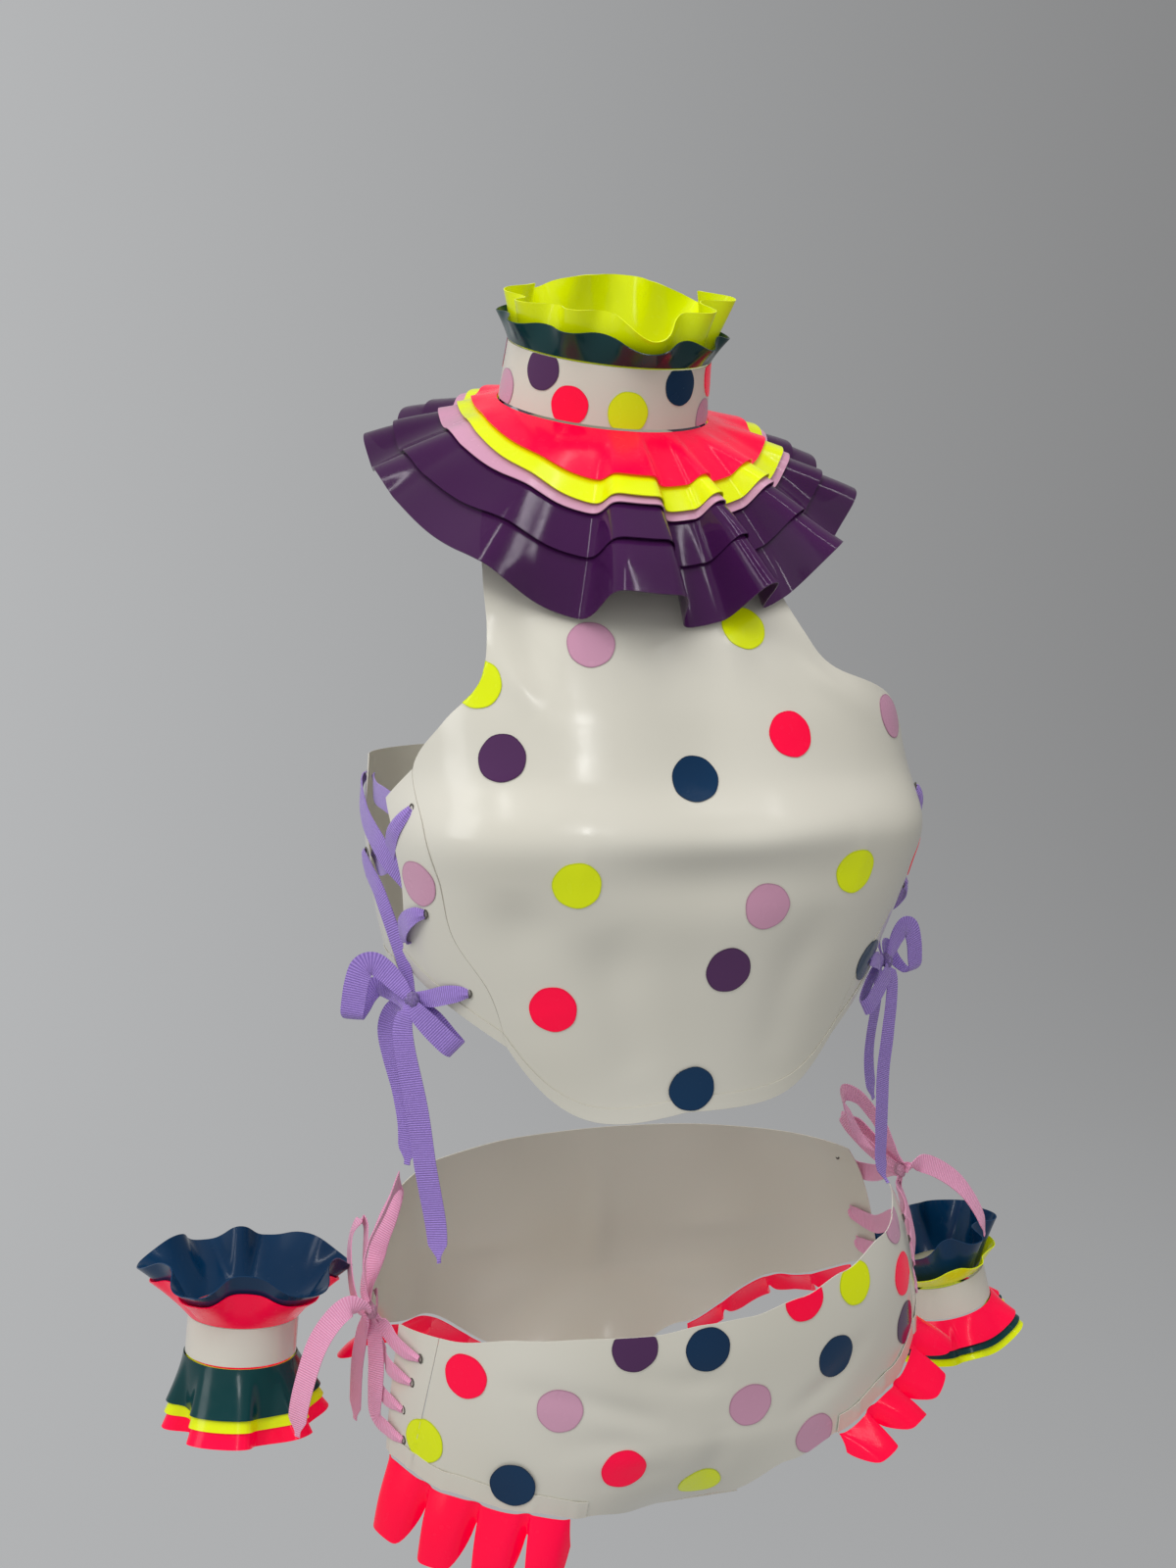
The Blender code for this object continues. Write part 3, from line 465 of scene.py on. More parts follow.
def outward(grid: np.ndarray, middle: tuple, ring: bool = False) -> np.ndarray:
    """The normals of a grid, turned as a whole so that they point away from an upright axis."""
    normal = normals_of(grid, ring)
    away = grid[..., :2] - np.array(middle)
    return normal * (1.0 if (normal[..., :2] * away).sum() >= 0 else -1.0)


class Crease(NamedTuple):
    """A soft trough in the cloth, or a ridge where its depth is negative.

    Its path runs round the figure as (azimuth, height) in degrees and cm; its half width and depth are in cm.
    """

    path: tuple
    half_width: float
    depth: float


def creases(*rows: tuple) -> tuple:
    """Creases from rows of their values."""
    return tuple(Crease(*row) for row in rows)


CM_PER_DEGREE = 0.21


def crease_depth(drawn: tuple, azimuth: np.ndarray, height: np.ndarray) -> np.ndarray:
    """How far the creases draw each point in, in cm.

    Args:
        drawn: The creases.
        azimuth: Each point's direction in degrees.
        height: Each point's height in cm.

    Returns:
        The depth at each point, uneven along each crease and faded out at its ends.
    """
    total = np.zeros_like(azimuth)
    for crease in drawn:
        path = catmull(np.array(crease.path, float), 8) * np.array([CM_PER_DEGREE, 1.0])
        nearest = np.full(azimuth.shape, 1e9)
        along = np.zeros_like(azimuth)
        for k in range(len(path) - 1):
            start, step = path[k], path[k + 1] - path[k]
            px, py = azimuth * CM_PER_DEGREE - start[0], height - start[1]
            share = np.clip((px * step[0] + py * step[1]) / (step @ step), 0.0, 1.0)
            away = np.hypot(px - share * step[0], py - share * step[1])
            closer = away < nearest
            nearest = np.where(closer, away, nearest)
            along = np.where(closer, (k + share) / (len(path) - 1), along)
        uneven = 1.0 + 0.25 * np.sin(9.0 * along + 3.0 * crease.half_width)
        faded = np.sin(np.pi * np.clip(along, 0.02, 0.98)) ** 0.6
        total += crease.depth * uneven * faded * np.exp(-((nearest / crease.half_width) ** 2))
    return total


def slack(grid: np.ndarray, normal: np.ndarray, depth: float, scale: float, seed: float) -> np.ndarray:
    """A grid with soft uneven waves, as a slack sheet has.

    Args:
        grid: The points, in metres.
        normal: Their normals.
        depth: How deep the waves are, in metres.
        scale: How many waves there are to a metre.
        seed: Where in the noise the piece lies.

    Returns:
        The moved points.
    """
    flat = grid.reshape(-1, 3) * scale
    wave = np.array([noise.noise(Vector(point) + Vector((seed, 0.0, 0.0))) for point in flat])
    return grid + normal * wave.reshape(grid.shape[:2] + (1,)) * depth


def active(piece: Piece) -> None:
    """Makes a piece the only one selected, and active."""
    bpy.ops.object.select_all(action="DESELECT")
    piece.select_set(True)
    bpy.context.view_layer.objects.active = piece


def joined(pieces: list, name: str) -> Piece:
    """The pieces joined into the first of them, under a new name."""
    active(pieces[0])
    for piece in pieces:
        piece.select_set(True)
    if len(pieces) > 1:
        bpy.ops.object.join()
    pieces[0].name = name
    return pieces[0]


def finished(
    piece: Piece, shade: Shade | Latex | Grosgrain | Plain, angle: float = 42.0
) -> Piece:
    """Applies a piece's modifiers, shades it, and gives it its material and body.

    Args:
        piece: The piece.
        shade: Its finish.
        angle: Edges sharper than this, in degrees, stay crisp.

    Returns:
        The piece.
    """
    finish = shade.value if isinstance(shade, Shade) else shade
    active(piece)
    for modifier in list(piece.modifiers):
        bpy.ops.object.modifier_apply(modifier=modifier.name)
    bpy.ops.object.shade_smooth_by_angle(angle=math.radians(angle))
    piece.data.materials.clear()
    piece.data.materials.append(finish.material())
    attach(piece, BODY)
    log.info("built %s: %d faces", piece.name, len(piece.data.polygons))
    return piece


def mesh_piece(name: str, points: np.ndarray, faces: list, uvs: np.ndarray) -> Piece:
    """A new mesh object with a UV map.

    Args:
        name: The object's name.
        points: Its points, in metres.
        faces: Its faces, as indices of points.
        uvs: One UV for each corner of each face, in the faces' order.

    Returns:
        The object, at the origin.
    """
    mesh = bpy.data.meshes.new(name)
    mesh.from_pydata(points.reshape(-1, 3).tolist(), [], faces)
    layer = mesh.uv_layers.new(name="UVMap")
    layer.data.foreach_set("uv", np.asarray(uvs, np.float32).ravel())
    piece = bpy.data.objects.new(name, mesh)
    bpy.context.scene.collection.objects.link(piece)
    return piece


def thick(piece: Piece, wall: float, offset: float = 0.0) -> Piece:
    """Adds the wall to a flat piece."""
    modifier = piece.modifiers.new("wall", "SOLIDIFY")
    modifier.thickness = wall
    modifier.offset = offset
    modifier.use_even_offset = False
    return piece


def grid_piece(name: str, grid: np.ndarray, ring: bool = False, wall: float = SHEET_WALL) -> Piece:
    """A sheet of cloth on a grid of points, with a UV map in metres along and down the cloth.

    Args:
        name: The object's name.
        grid: Rows of points, in metres.
        ring: Whether each row closes on itself.
        wall: The sheet's thickness.

    Returns:
        The object, with its wall still a modifier.
    """
    rows, across = grid.shape[:2]
    columns = across if ring else across - 1
    j, i = np.meshgrid(np.arange(rows - 1), np.arange(columns), indexing="ij")
    j, i = j.ravel(), i.ravel()
    after = (i + 1) % across
    faces = np.stack([j * across + i, j * across + after, (j + 1) * across + after, (j + 1) * across + i], 1)
    middle = grid[rows // 2]
    closed = np.concatenate([middle, middle[:1]]) if ring else middle
    u = lengths_along(closed)
    v = np.concatenate([[0.0], np.cumsum(np.linalg.norm(np.diff(grid, axis=0), axis=2).mean(1))])
    uvs = np.stack([np.stack([u[i + a], v[j + b]], 1) for a, b in ((0, 0), (1, 0), (1, 1), (0, 1))], 1)
    return thick(mesh_piece(name, grid, faces.tolist(), uvs), wall)


def cloth_for(
    node: str, grid: np.ndarray, shade: Shade, ring: bool = False
) -> Piece:
    """Args:
        node: The solid.
        grid: The cloth's points.
        shade: Its finish.
        ring: Whether each row closes on itself.

    Returns:
        The piece.
    """
    piece = finished(grid_piece(f"{node}_cloth", grid, ring=ring), shade)
    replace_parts(piece, node)
    return piece


EDGE_KEPT_CLEAR = 0.0003  # between a strip's lower edge and the cloth's own, in metres


def edge_strip(grid: np.ndarray, normal: np.ndarray, width: float, out: float, steps: int = 4) -> np.ndarray:
    """A strip along the last row of a grid, moved out from its points.

    Args:
        grid: The cloth's points.
        normal: Their outward normals.
        width: How far the strip reaches up from the edge, in metres.
        out: How far off it lies, in metres.
        steps: How many faces it has across.

    Returns:
        The strip's own grid, from its upper edge to the cloth's edge.
    """
    lines = []
    for i in range(grid.shape[1]):
        line, away = grid[::-1, i], normal[::-1, i]
        run = lengths_along(line)
        stops = np.linspace(width, EDGE_KEPT_CLEAR, steps + 1)
        spot = np.stack([np.interp(stops, run, line[:, c]) for c in range(3)], 1)
        turn = np.stack([np.interp(stops, run, away[:, c]) for c in range(3)], 1)
        lines.append(spot + turn * out)
    return np.stack(lines, 1)


# ---------------------------------------------------------------- dots


class Dot(NamedTuple):
    """A glued dot: where its middle is round the figure or the band, in degrees and cm, and its sheet.

    Its out is how far its middle lies over the cloth's middle, in metres.
    """

    azimuth: float
    height: float
    shade: Shade
    radius: float = 1.2
    out: float = 0.00058


DOT_RINGS, DOT_SIDES = 6, 40
HEM_DOT_OUT, TAPE_DOT_OUT = 0.00105, 0.0017  # for a dot that lies over a hem or a leg tape
DOT_WALL = 0.00035


@dataclass
class DottedCloth:
    """The cloth that dots are glued on, as surfaces to drop their points onto."""

    garment: str
    grids: list = field(default_factory=list)

    def add(self, grid: np.ndarray, normal: np.ndarray) -> None:
        """Adds one panel's points and outward normals."""
        self.grids.append((grid, normal))

    def surface(self) -> tuple:
        """The panels' faces as one tree, and each face's outward normal."""
        points, faces, normals, start = [], [], [], 0
        for grid, normal in self.grids:
            rows, across = grid.shape[:2]
            points.append(grid.reshape(-1, 3))
            for j in range(rows - 1):
                for i in range(across - 1):
                    a = start + j * across + i
                    faces.append((a, a + 1, a + across + 1, a + across))
                    normals.append(normal[j, i])
            start += rows * across
        tree = BVHTree.FromPolygons(np.concatenate(points).tolist(), faces)
        return tree, normals

    def glue(self, dots: tuple, middles: list) -> None:
        """Makes the dots, one piece for each sheet they are cut from. None reaches past the cloth's edge.

        Args:
            dots: The dots.
            middles: Each dot's middle, as a point near the cloth.
        """
        tree, normals = self.surface()
        for shade in Shade:
            points, faces, uvs = [], [], []
            for dot, middle in zip(dots, middles):
                if dot.shade is shade:
                    self.disc(tree, normals, dot, middle, points, faces, uvs)
            if not faces:
                continue
            piece = mesh_piece(f"{self.garment}_dots_{shade.name.lower()}", np.array(points), faces, uvs)
            form = bmesh.new()
            form.from_mesh(piece.data)
            bmesh.ops.remove_doubles(form, verts=form.verts, dist=0.00004)
            bmesh.ops.dissolve_degenerate(form, edges=form.edges, dist=0.00004)
            loose = [vert for vert in form.verts if not vert.link_faces]
            bmesh.ops.delete(form, geom=loose, context="VERTS")
            form.to_mesh(piece.data)
            form.free()
            finished(thick(piece, DOT_WALL), DOT_SHADES[shade])

    @staticmethod
    def disc(
        tree: BVHTree, normals: list, dot: Dot, middle: Vector, points: list, faces: list, uvs: list
    ) -> None:
        """Adds one disc's points, faces and UVs, dropped onto the cloth from its own plane."""
        spot, _, face, _ = tree.find_nearest(middle)
        out = Vector(normals[face])
        side = out.cross(Vector((0, 0, 1))).normalized()
        up = side.cross(out).normalized()
        if up.z < 0:
            up = -up
        start = len(points)
        rings = [(0.0, 0)] + [(k / DOT_RINGS, i) for k in range(1, DOT_RINGS + 1) for i in range(DOT_SIDES)]
        flat = []
        for share, i in rings:
            turn = 2 * math.pi * i / DOT_SIDES
            wobble = 1.0 + 0.012 * math.sin(3 * turn + dot.azimuth) + 0.008 * math.sin(7 * turn + dot.height)
            reach = share * dot.radius * CM * wobble
            at = spot + side * reach * math.cos(turn) + up * reach * math.sin(turn)
            on, _, near, _ = tree.find_nearest(at)
            points.append(tuple(on + Vector(normals[near]) * dot.out))
            flat.append((share * math.cos(turn), share * math.sin(turn)))
        for i in range(DOT_SIDES):
            after = (i + 1) % DOT_SIDES
            faces.append((start, start + 1 + i, start + 1 + after))
            uvs += [flat[0], flat[1 + i], flat[1 + after]]
            for k in range(DOT_RINGS - 1):
                a, b = 1 + k * DOT_SIDES + i, 1 + k * DOT_SIDES + after
                corners = (a, a + DOT_SIDES, b + DOT_SIDES, b)
                faces.append(tuple(start + c for c in corners))
                uvs += [flat[c] for c in corners]


# ---------------------------------------------------------------- ruffles round a band


class Fold(NamedTuple):
    """A crest or a valley of a ruffle: where it is round the band, and how far off the cone it lies in cm."""

    azimuth: float
    lift: float


class Round(NamedTuple):
    """A value that changes round a band: ahead, to the wearer's left, behind and to the right."""

    ahead: float
    left: float
    behind: float
    right: float

    def at(self, azimuth: float) -> float:
        """The value in this direction, eased between the four."""
        side, ahead = math.sin(math.radians(azimuth)), math.cos(math.radians(azimuth))
        deep = self.ahead if ahead >= 0 else self.behind
        wide = self.left if side >= 0 else self.right
        return ahead**2 * deep + side**2 * wide


def even(value: float) -> Round:
    """The same value all round."""
    return Round(value, value, value, value)


class Ruffle(NamedTuple):
    """A ruffle that leaves a band, in cm and degrees. Its slope is below the band's plane where positive.

    The curl is how much it turns down for each cm, the lift is how deep its folds are 10 cm out, and the layer is
    how many ruffles lie over it.
    """

    name: str
    shade: Shade
    root_radius: float
    root_height: float
    length: Round
    slope: Round
    curl: float
    lift: float
    rows: int
    layer: int


LIFT_REACH = 10.0
LIFT_GROWTH = 1.35
PITCH_AT_ROOT, PITCH_PER_CM = 0.17, 0.010  # from one layer to the next
SAMPLES_PER_FOLD = 14
ROWS_PER_PART = 7
DIP_LEAN = 45.0  # degrees that a whole dip leans out


def pleated(lift: np.ndarray, full: tuple) -> np.ndarray:
    """Folds with rounder crests and valleys and steeper flanks.

    Args:
        lift: How far each sample lies off the cone.
        full: How much fuller the crests are, and the valleys.

    Returns:
        The new lifts.
    """
    crest, valley = full
    return np.where(lift > 0, crest, valley) * np.tanh(1.5 * lift) / np.tanh(1.5)


def even_folds(count: int, turn: float, uneven: float = 0.28) -> tuple:
    """Crests and valleys in turn, unevenly deep and spaced.

    Args:
        count: How many crests there are.
        turn: Where the unevenness starts, in radians.
        uneven: How strong it is.

    Returns:
        The folds, in order round the band.
    """
    made = []
    for k in range(2 * count):
        drift = uneven * math.sin(2.4 * k + turn)
        height = 1.0 - uneven * (1 + math.sin(1.7 * k + 2 * turn)) / 1.4
        made.append(Fold(180 * (k + drift) / count + turn * 7, height if k % 2 else -height))
    return tuple(made)


def folds(*rows: tuple) -> tuple:
    """Folds from rows of azimuth and lift, in order round the band."""
    return tuple(Fold(*row) for row in rows)


def round_folds(order: tuple) -> list:
    """Samples all round, with a soft curve between one fold and the next.

    Args:
        order: The folds, in order round the band.

    Returns:
        The samples, each as (azimuth, lift).
    """
    samples = []
    for k, fold in enumerate(order):
        after = order[(k + 1) % len(order)]
        span = (after.azimuth - fold.azimuth) % 360
        for j in range(SAMPLES_PER_FOLD):
            share = j / SAMPLES_PER_FOLD
            soft = (1 - math.cos(math.pi * share)) / 2
            samples.append((fold.azimuth + span * share, blend(fold.lift, after.lift, soft)))
    return samples


class Dip(NamedTuple):
    """Where a standing ruffle leans out and drops: direction and reach in degrees, and share of the length."""

    azimuth: float
    reach: float
    share: float


def ruffle_grid(ruffle: Ruffle, order: tuple, place: Matrix, full: tuple, dips: tuple = ()) -> np.ndarray:
    """The grid of a ruffle: rows from its root to its edge. Folds open towards the edge.

    Args:
        ruffle: The ruffle's sizes.
        order: Its crests and valleys round the band.
        place: The band's place.
        full: How much fuller its crests and its valleys are than those of the solid.
        dips: Where its edge drops.

    Returns:
        Its points, in metres.
    """
    samples = np.array(round_folds(order))
    rows = max(ruffle.rows, 2) * ROWS_PER_PART
    length = np.array([ruffle.length.at(azimuth) for azimuth in samples[:, 0]])
    root = np.array([ruffle.slope.at(azimuth) for azimuth in samples[:, 0]])
    around = np.radians(samples[:, 0])
    for dip in dips:
        apart = (samples[:, 0] - dip.azimuth + 180) % 360 - 180
        near = np.exp(-((apart / dip.reach) ** 2))
        length = length * (1 - dip.share * near)
        root = root + DIP_LEAN * dip.share * near
    found = []
    for j in range(rows + 1):
        run = length * j / rows
        chord = np.radians(root + ruffle.curl * run / 2)
        slope = np.radians(root + ruffle.curl * run)
        uneven = 1.0 + 0.05 * np.sin(5 * around + 0.9 * run)
        off = pleated(samples[:, 1], full) * ruffle.lift * uneven * (run / LIFT_REACH) ** LIFT_GROWTH
        off = off - ruffle.layer * (PITCH_AT_ROOT + PITCH_PER_CM * run)
        radius = ruffle.root_radius + run * np.cos(chord) + off * np.sin(slope)
        height = ruffle.root_height - run * np.sin(chord) + off * np.cos(slope)
        found.append(np.stack([radius * np.sin(around), -radius * np.cos(around), height], 1) * CM)
    return placed(np.array(found), place)


BAND_SIDES, BAND_ROWS = 144, 13


def band_grid(radius: float, low: float, high: float, taper: float, place: Matrix) -> np.ndarray:
    """A band's grid, from its upper to its lower rim.

    Args:
        radius: Its radius at the lower rim, in cm.
        low: Its lower rim's height, in cm.
        high: Its upper rim's height, in cm.
        taper: How much the upper rim is drawn in, in cm.
        place: The band's place.

    Returns:
        Its points, in metres.
    """
    around = np.linspace(0, 2 * np.pi, BAND_SIDES, endpoint=False)
    found = []
    for share in np.linspace(0, 1, BAND_ROWS):
        rim = blend(radius - taper, radius, share)
        height = np.full_like(around, blend(high, low, share))
        found.append(np.stack([rim * np.sin(around), -rim * np.cos(around), height], 1) * CM)
    return placed(np.array(found), place)


@dataclass
class BandWithRuffles:
    """A band with the ruffles that leave its rims, each a piece of its own."""

    band: str
    radius: float
    low: float
    high: float
    taper: float
    place: Matrix
    ruffles: tuple
    dots: tuple = ()
    dips: dict = field(default_factory=dict)

    def build(self, folds_of: dict) -> None:
        """Builds and dresses the band, its ruffles and its dots.

        Args:
            folds_of: The folds of each ruffle and how full they are, by its name.
        """
        grid = band_grid(self.radius, self.low, self.high, self.taper, self.place)
        piece = cloth_for(self.band, grid, Shade.CREAM, ring=True)
        for ruffle in self.ruffles:
            order, full = folds_of[ruffle.name]
            cloth = ruffle_grid(ruffle, order, self.place, full, self.dips.get(ruffle.name, ()))
            cloth_for(ruffle.name, cloth, ruffle.shade, ring=True)
        if self.dots:
            self.glue_dots(grid)

    def glue_dots(self, grid: np.ndarray) -> None:
        """Glues the band's dots on, each placed by its direction round the band and its height on it."""
        closed = np.concatenate([grid, grid[:, :1]], 1)
        middle = tuple(self.place.translation[:2])
        cloth = DottedCloth(self.band)
        cloth.add(closed, outward(closed, middle))
        spots = []
        for dot in self.dots:
            side, ahead = math.sin(math.radians(dot.azimuth)), math.cos(math.radians(dot.azimuth))
            spots.append(self.place @ (Vector((self.radius * side, -self.radius * ahead, dot.height)) * CM))
        cloth.glue(self.dots, spots)


# ---------------------------------------------------------------- neck ruff

NECK_LEAN = math.radians(20)
NECK_TILT = math.radians(1.5)
NECK_RISE = 1.4  # the band's middle over the origin, cm
NECK = (
    Matrix.Translation(Vector((0, 0, NECK_RISE)) * CM)
    @ Matrix.Rotation(NECK_TILT, 4, "Y")
    @ Matrix.Rotation(NECK_LEAN, 4, "X")
)
COLLAR_RADIUS = 5.75
COLLAR_HALF_HEIGHT = 1.5
COLLAR_TAPER = 0.25


def collar_ruffle(layer: int, name: str, shade: Shade, length: Round, rows: int) -> Ruffle:
    """A falling ruffle of the ruff. They share their root, their slope, their curl and their folds' depth."""
    return Ruffle(name, shade, 5.85, -1.63, length, Round(24, 12, 13, 17), 1.4, 0.85, rows, layer)


COLLAR_FALLING = (
    collar_ruffle(0, "collar_red", Shade.RED, Round(3.8, 3.2, 3.4, 1.3), 2),
    collar_ruffle(1, "collar_yellow", Shade.YELLOW, Round(5.2, 4.3, 4.6, 2.1), 2),
    collar_ruffle(2, "collar_pink", Shade.PINK, Round(5.6, 4.8, 5.0, 3.3), 2),
    collar_ruffle(3, "collar_purple_mid", Shade.PURPLE, Round(8.0, 6.8, 7.2, 6.0), 3),
    collar_ruffle(4, "collar_purple_long", Shade.PURPLE, Round(11.3, 8.8, 9.6, 7.8), 4),
)
COLLAR_STANDING = (
    Ruffle("collar_up_yellow", Shade.YELLOW, 5.3, 1.5, Round(2.7, 3.4, 3.2, 2.4), even(-83), -2.0, 3.0, 2, 0),
    Ruffle("collar_up_teal", Shade.TEAL, 5.55, 1.62, Round(1.6, 1.4, 1.6, 1.4), even(-68), -2.0, 3.6, 1, 0),
)
RUFF_FOLDS = folds(
    (-140, 0.75), (-124, -0.7), (-108, 0.5), (-92, -0.35), (-76, 0.4), (-66, 0.0), (-52, -0.15), (-36, 0.12),
    (-17, -1.1), (-6, 1.3), (1, 1.2), (9, -1.15), (15, -0.8), (21, 0.95), (28, -1.0), (33, -0.8), (42, 1.0),
    (54, -0.85), (60, -0.6), (71, 0.8), (88, -0.6), (103, 0.8), (117, -0.75), (132, 0.9), (147, -0.8),
    (162, 0.85), (177, -0.8), (191, 0.85), (205, -0.8),
)
STANDING_FOLDS = folds(
    (-172, 0.8), (-152, -0.9), (-130, 0.8), (-108, -0.7), (-88, 0.7), (-70, -0.9), (-52, 0.7), (-36, -0.5),
    (-20, 0.6), (4, -1.0), (26, 0.7), (42, -0.6), (58, 0.9), (76, -1.0), (96, 0.8), (116, -0.9), (136, 0.8),
    (160, -0.8),
)
STANDING_DIPS = {
    "collar_up_yellow": (Dip(6, 15, 0.34), Dip(-150, 14, 0.22), Dip(118, 13, 0.22)),
    "collar_up_teal": (Dip(4, 16, 0.30), Dip(44, 12, 0.20)),
}
COLLAR_DOTS = (
    Dot(-52, 0.80, Shade.PURPLE, 1.05), Dot(-33, -0.70, Shade.RED, 1.02), Dot(-2, -0.70, Shade.YELLOW, 1.08),
    Dot(29, 0.75, Shade.NAVY, 1.05), Dot(55, -1.20, Shade.PINK, 1.05), Dot(64, 0.90, Shade.RED, 1.05),
    Dot(-83, -0.80, Shade.PINK, 1.05), Dot(93, -0.40, Shade.YELLOW, 1.10), Dot(124, 0.90, Shade.PURPLE, 1.10),
    Dot(152, -0.60, Shade.NAVY, 1.10), Dot(-172, 0.80, Shade.RED, 1.10), Dot(-142, -0.70, Shade.YELLOW, 1.10),
    Dot(-112, 0.90, Shade.PINK, 1.10),
)


@dataclass
class NeckRuff:
    """The neck band with two standing and five falling ruffles."""

    falling: tuple = COLLAR_FALLING
    standing: tuple = COLLAR_STANDING

    def build(self) -> None:
        """Builds the ruff. Its falling ruffles share one set of folds, and its standing ones another."""
        folds_of = {ruffle.name: (RUFF_FOLDS, (1.9, 1.35)) for ruffle in self.falling}
        folds_of |= {ruffle.name: (STANDING_FOLDS, (1.3, 1.3)) for ruffle in self.standing}
        half = COLLAR_HALF_HEIGHT
        ruffles = self.standing + self.falling
        shape = COLLAR_RADIUS, -half, half, COLLAR_TAPER, NECK
        band = BandWithRuffles("collar_band", *shape, ruffles, COLLAR_DOTS)
        band.dips = STANDING_DIPS
        band.build(folds_of)


# ---------------------------------------------------------------- wrist cuffs

CUFF_RADIUS = 2.95
CUFF_HALF_HEIGHT = 1.0


def cuff_place(middle: tuple, tilt: float, lean: float) -> Matrix:
    """A cuff's place: its middle in cm, and how far it leans to the side and ahead in degrees."""
    sideways = Matrix.Rotation(math.radians(tilt), 4, "Y")
    ahead = Matrix.Rotation(math.radians(lean), 4, "X")
    return Matrix.Translation(Vector(middle) * CM) @ sideways @ ahead


def upper(
    name: str,
    shade: Shade,
    radius: float,
    height: float,
    length: float,
    slope: float,
    lift: float,
    layer: int,
) -> Ruffle:
    """A cuff's ruffle that stands up from the band's upper rim, alike all round."""
    return Ruffle(name, shade, radius, height, even(length), even(slope), 0, lift, 1, layer)


def lower(name: str, shade: Shade, length: float, slope: Round, lift: float, layer: int) -> Ruffle:
    """A cuff's ruffle that falls from the band's lower rim."""
    return Ruffle(name, shade, 3.02, -1.09, even(length), slope, 0, lift, 1, layer)


CUFF_RIGHT = cuff_place((-20.6, 0.0, -50.4), 6, -6)
CUFF_LEFT = cuff_place((23.4, 3.4, -54.3), -13, -5)
CUFF_RIGHT_FALL = Round(74, 64, 74, 84)
CUFF_RIGHT_RUFFLES = (
    upper("cuff_R_up_navy", Shade.NAVY, 2.90, 1.20, 3.6, -46, 2.0, 0),
    upper("cuff_R_up_red", Shade.RED, 2.90, 1.20, 2.6, -46, 2.0, 1),
    lower("cuff_R_low_teal", Shade.TEAL, 2.5, CUFF_RIGHT_FALL, 1.2, 0),
    lower("cuff_R_low_yellow", Shade.YELLOW, 3.1, CUFF_RIGHT_FALL, 1.2, 1),
    lower("cuff_R_low_red", Shade.RED, 3.9, CUFF_RIGHT_FALL, 1.2, 2),
)
CUFF_LEFT_RUFFLES = (
    upper("cuff_L_up_navy", Shade.NAVY, 2.73, 1.06, 3.1, -66, 2.4, 0),
    upper("cuff_L_up_yellow", Shade.YELLOW, 2.95, 1.18, 1.3, -46, 2.4, 0),
    lower("cuff_L_low_red", Shade.RED, 1.8, even(54), 1.6, 0),
    lower("cuff_L_low_teal", Shade.TEAL, 2.2, even(54), 1.6, 1),
    lower("cuff_L_low_yellow", Shade.YELLOW, 2.6, even(54), 1.6, 2),
)
# Each set of folds, and how full its crests and its valleys are.
CUFF_RIGHT_STANDING = folds(
    (-160, -0.8), (-128, 0.8), (-98, -0.8), (-60, 0.7), (-35, -1.1), (-5, 1.0), (32, -0.9), (66, 0.9),
    (98, -0.8), (132, 0.8), (168, -0.2), (182, 0.7),
), (1.6, 1.3)
CUFF_RIGHT_FALLING = folds(
    (-170, 0.8), (-144, -0.8), (-118, 0.8), (-98, -0.3), (-82, 1.0), (-60, -1.1), (-36, 0.7), (-14, 0.5),
    (2, 0.7), (22, -1.0), (46, 1.0), (72, -0.9), (98, 0.9), (126, -0.9), (152, 0.8), (172, -0.7),
), (2.6, 1.9)
CUFF_LEFT_STANDING = even_folds(7, 2.1), (1.5, 1.2)
CUFF_LEFT_FALLING = even_folds(6, 3.4), (2.2, 1.6)


@dataclass
class WristCuff:
    """A wrist band with two standing and three falling ruffles."""

    side: str
    place: Matrix
    ruffles: tuple
    standing: tuple
    falling: tuple

    def build(self) -> None:
        """Builds the cuff. The ruffles above and those below the band each share a set of folds."""
        names = [ruffle.name for ruffle in self.ruffles]
        folds_of = {name: self.standing if "_up_" in name else self.falling for name in names}
        shape = CUFF_RADIUS, -CUFF_HALF_HEIGHT, CUFF_HALF_HEIGHT, 0.0, self.place
        band = BandWithRuffles(f"cuff_{self.side}_band", *shape, self.ruffles)
        band.build(folds_of)


# ---------------------------------------------------------------- crop top


class FrontRow(NamedTuple):
    """A row of the top's front: heights at the middle and edges, the edges' azimuths, and how flat it runs.

    The sag is how much lower than evenly the row lies halfway to the right edge.
    """

    height: float
    right_height: float
    left_height: float
    right: float
    left: float
    flatness: float
    sag: float = 0.0


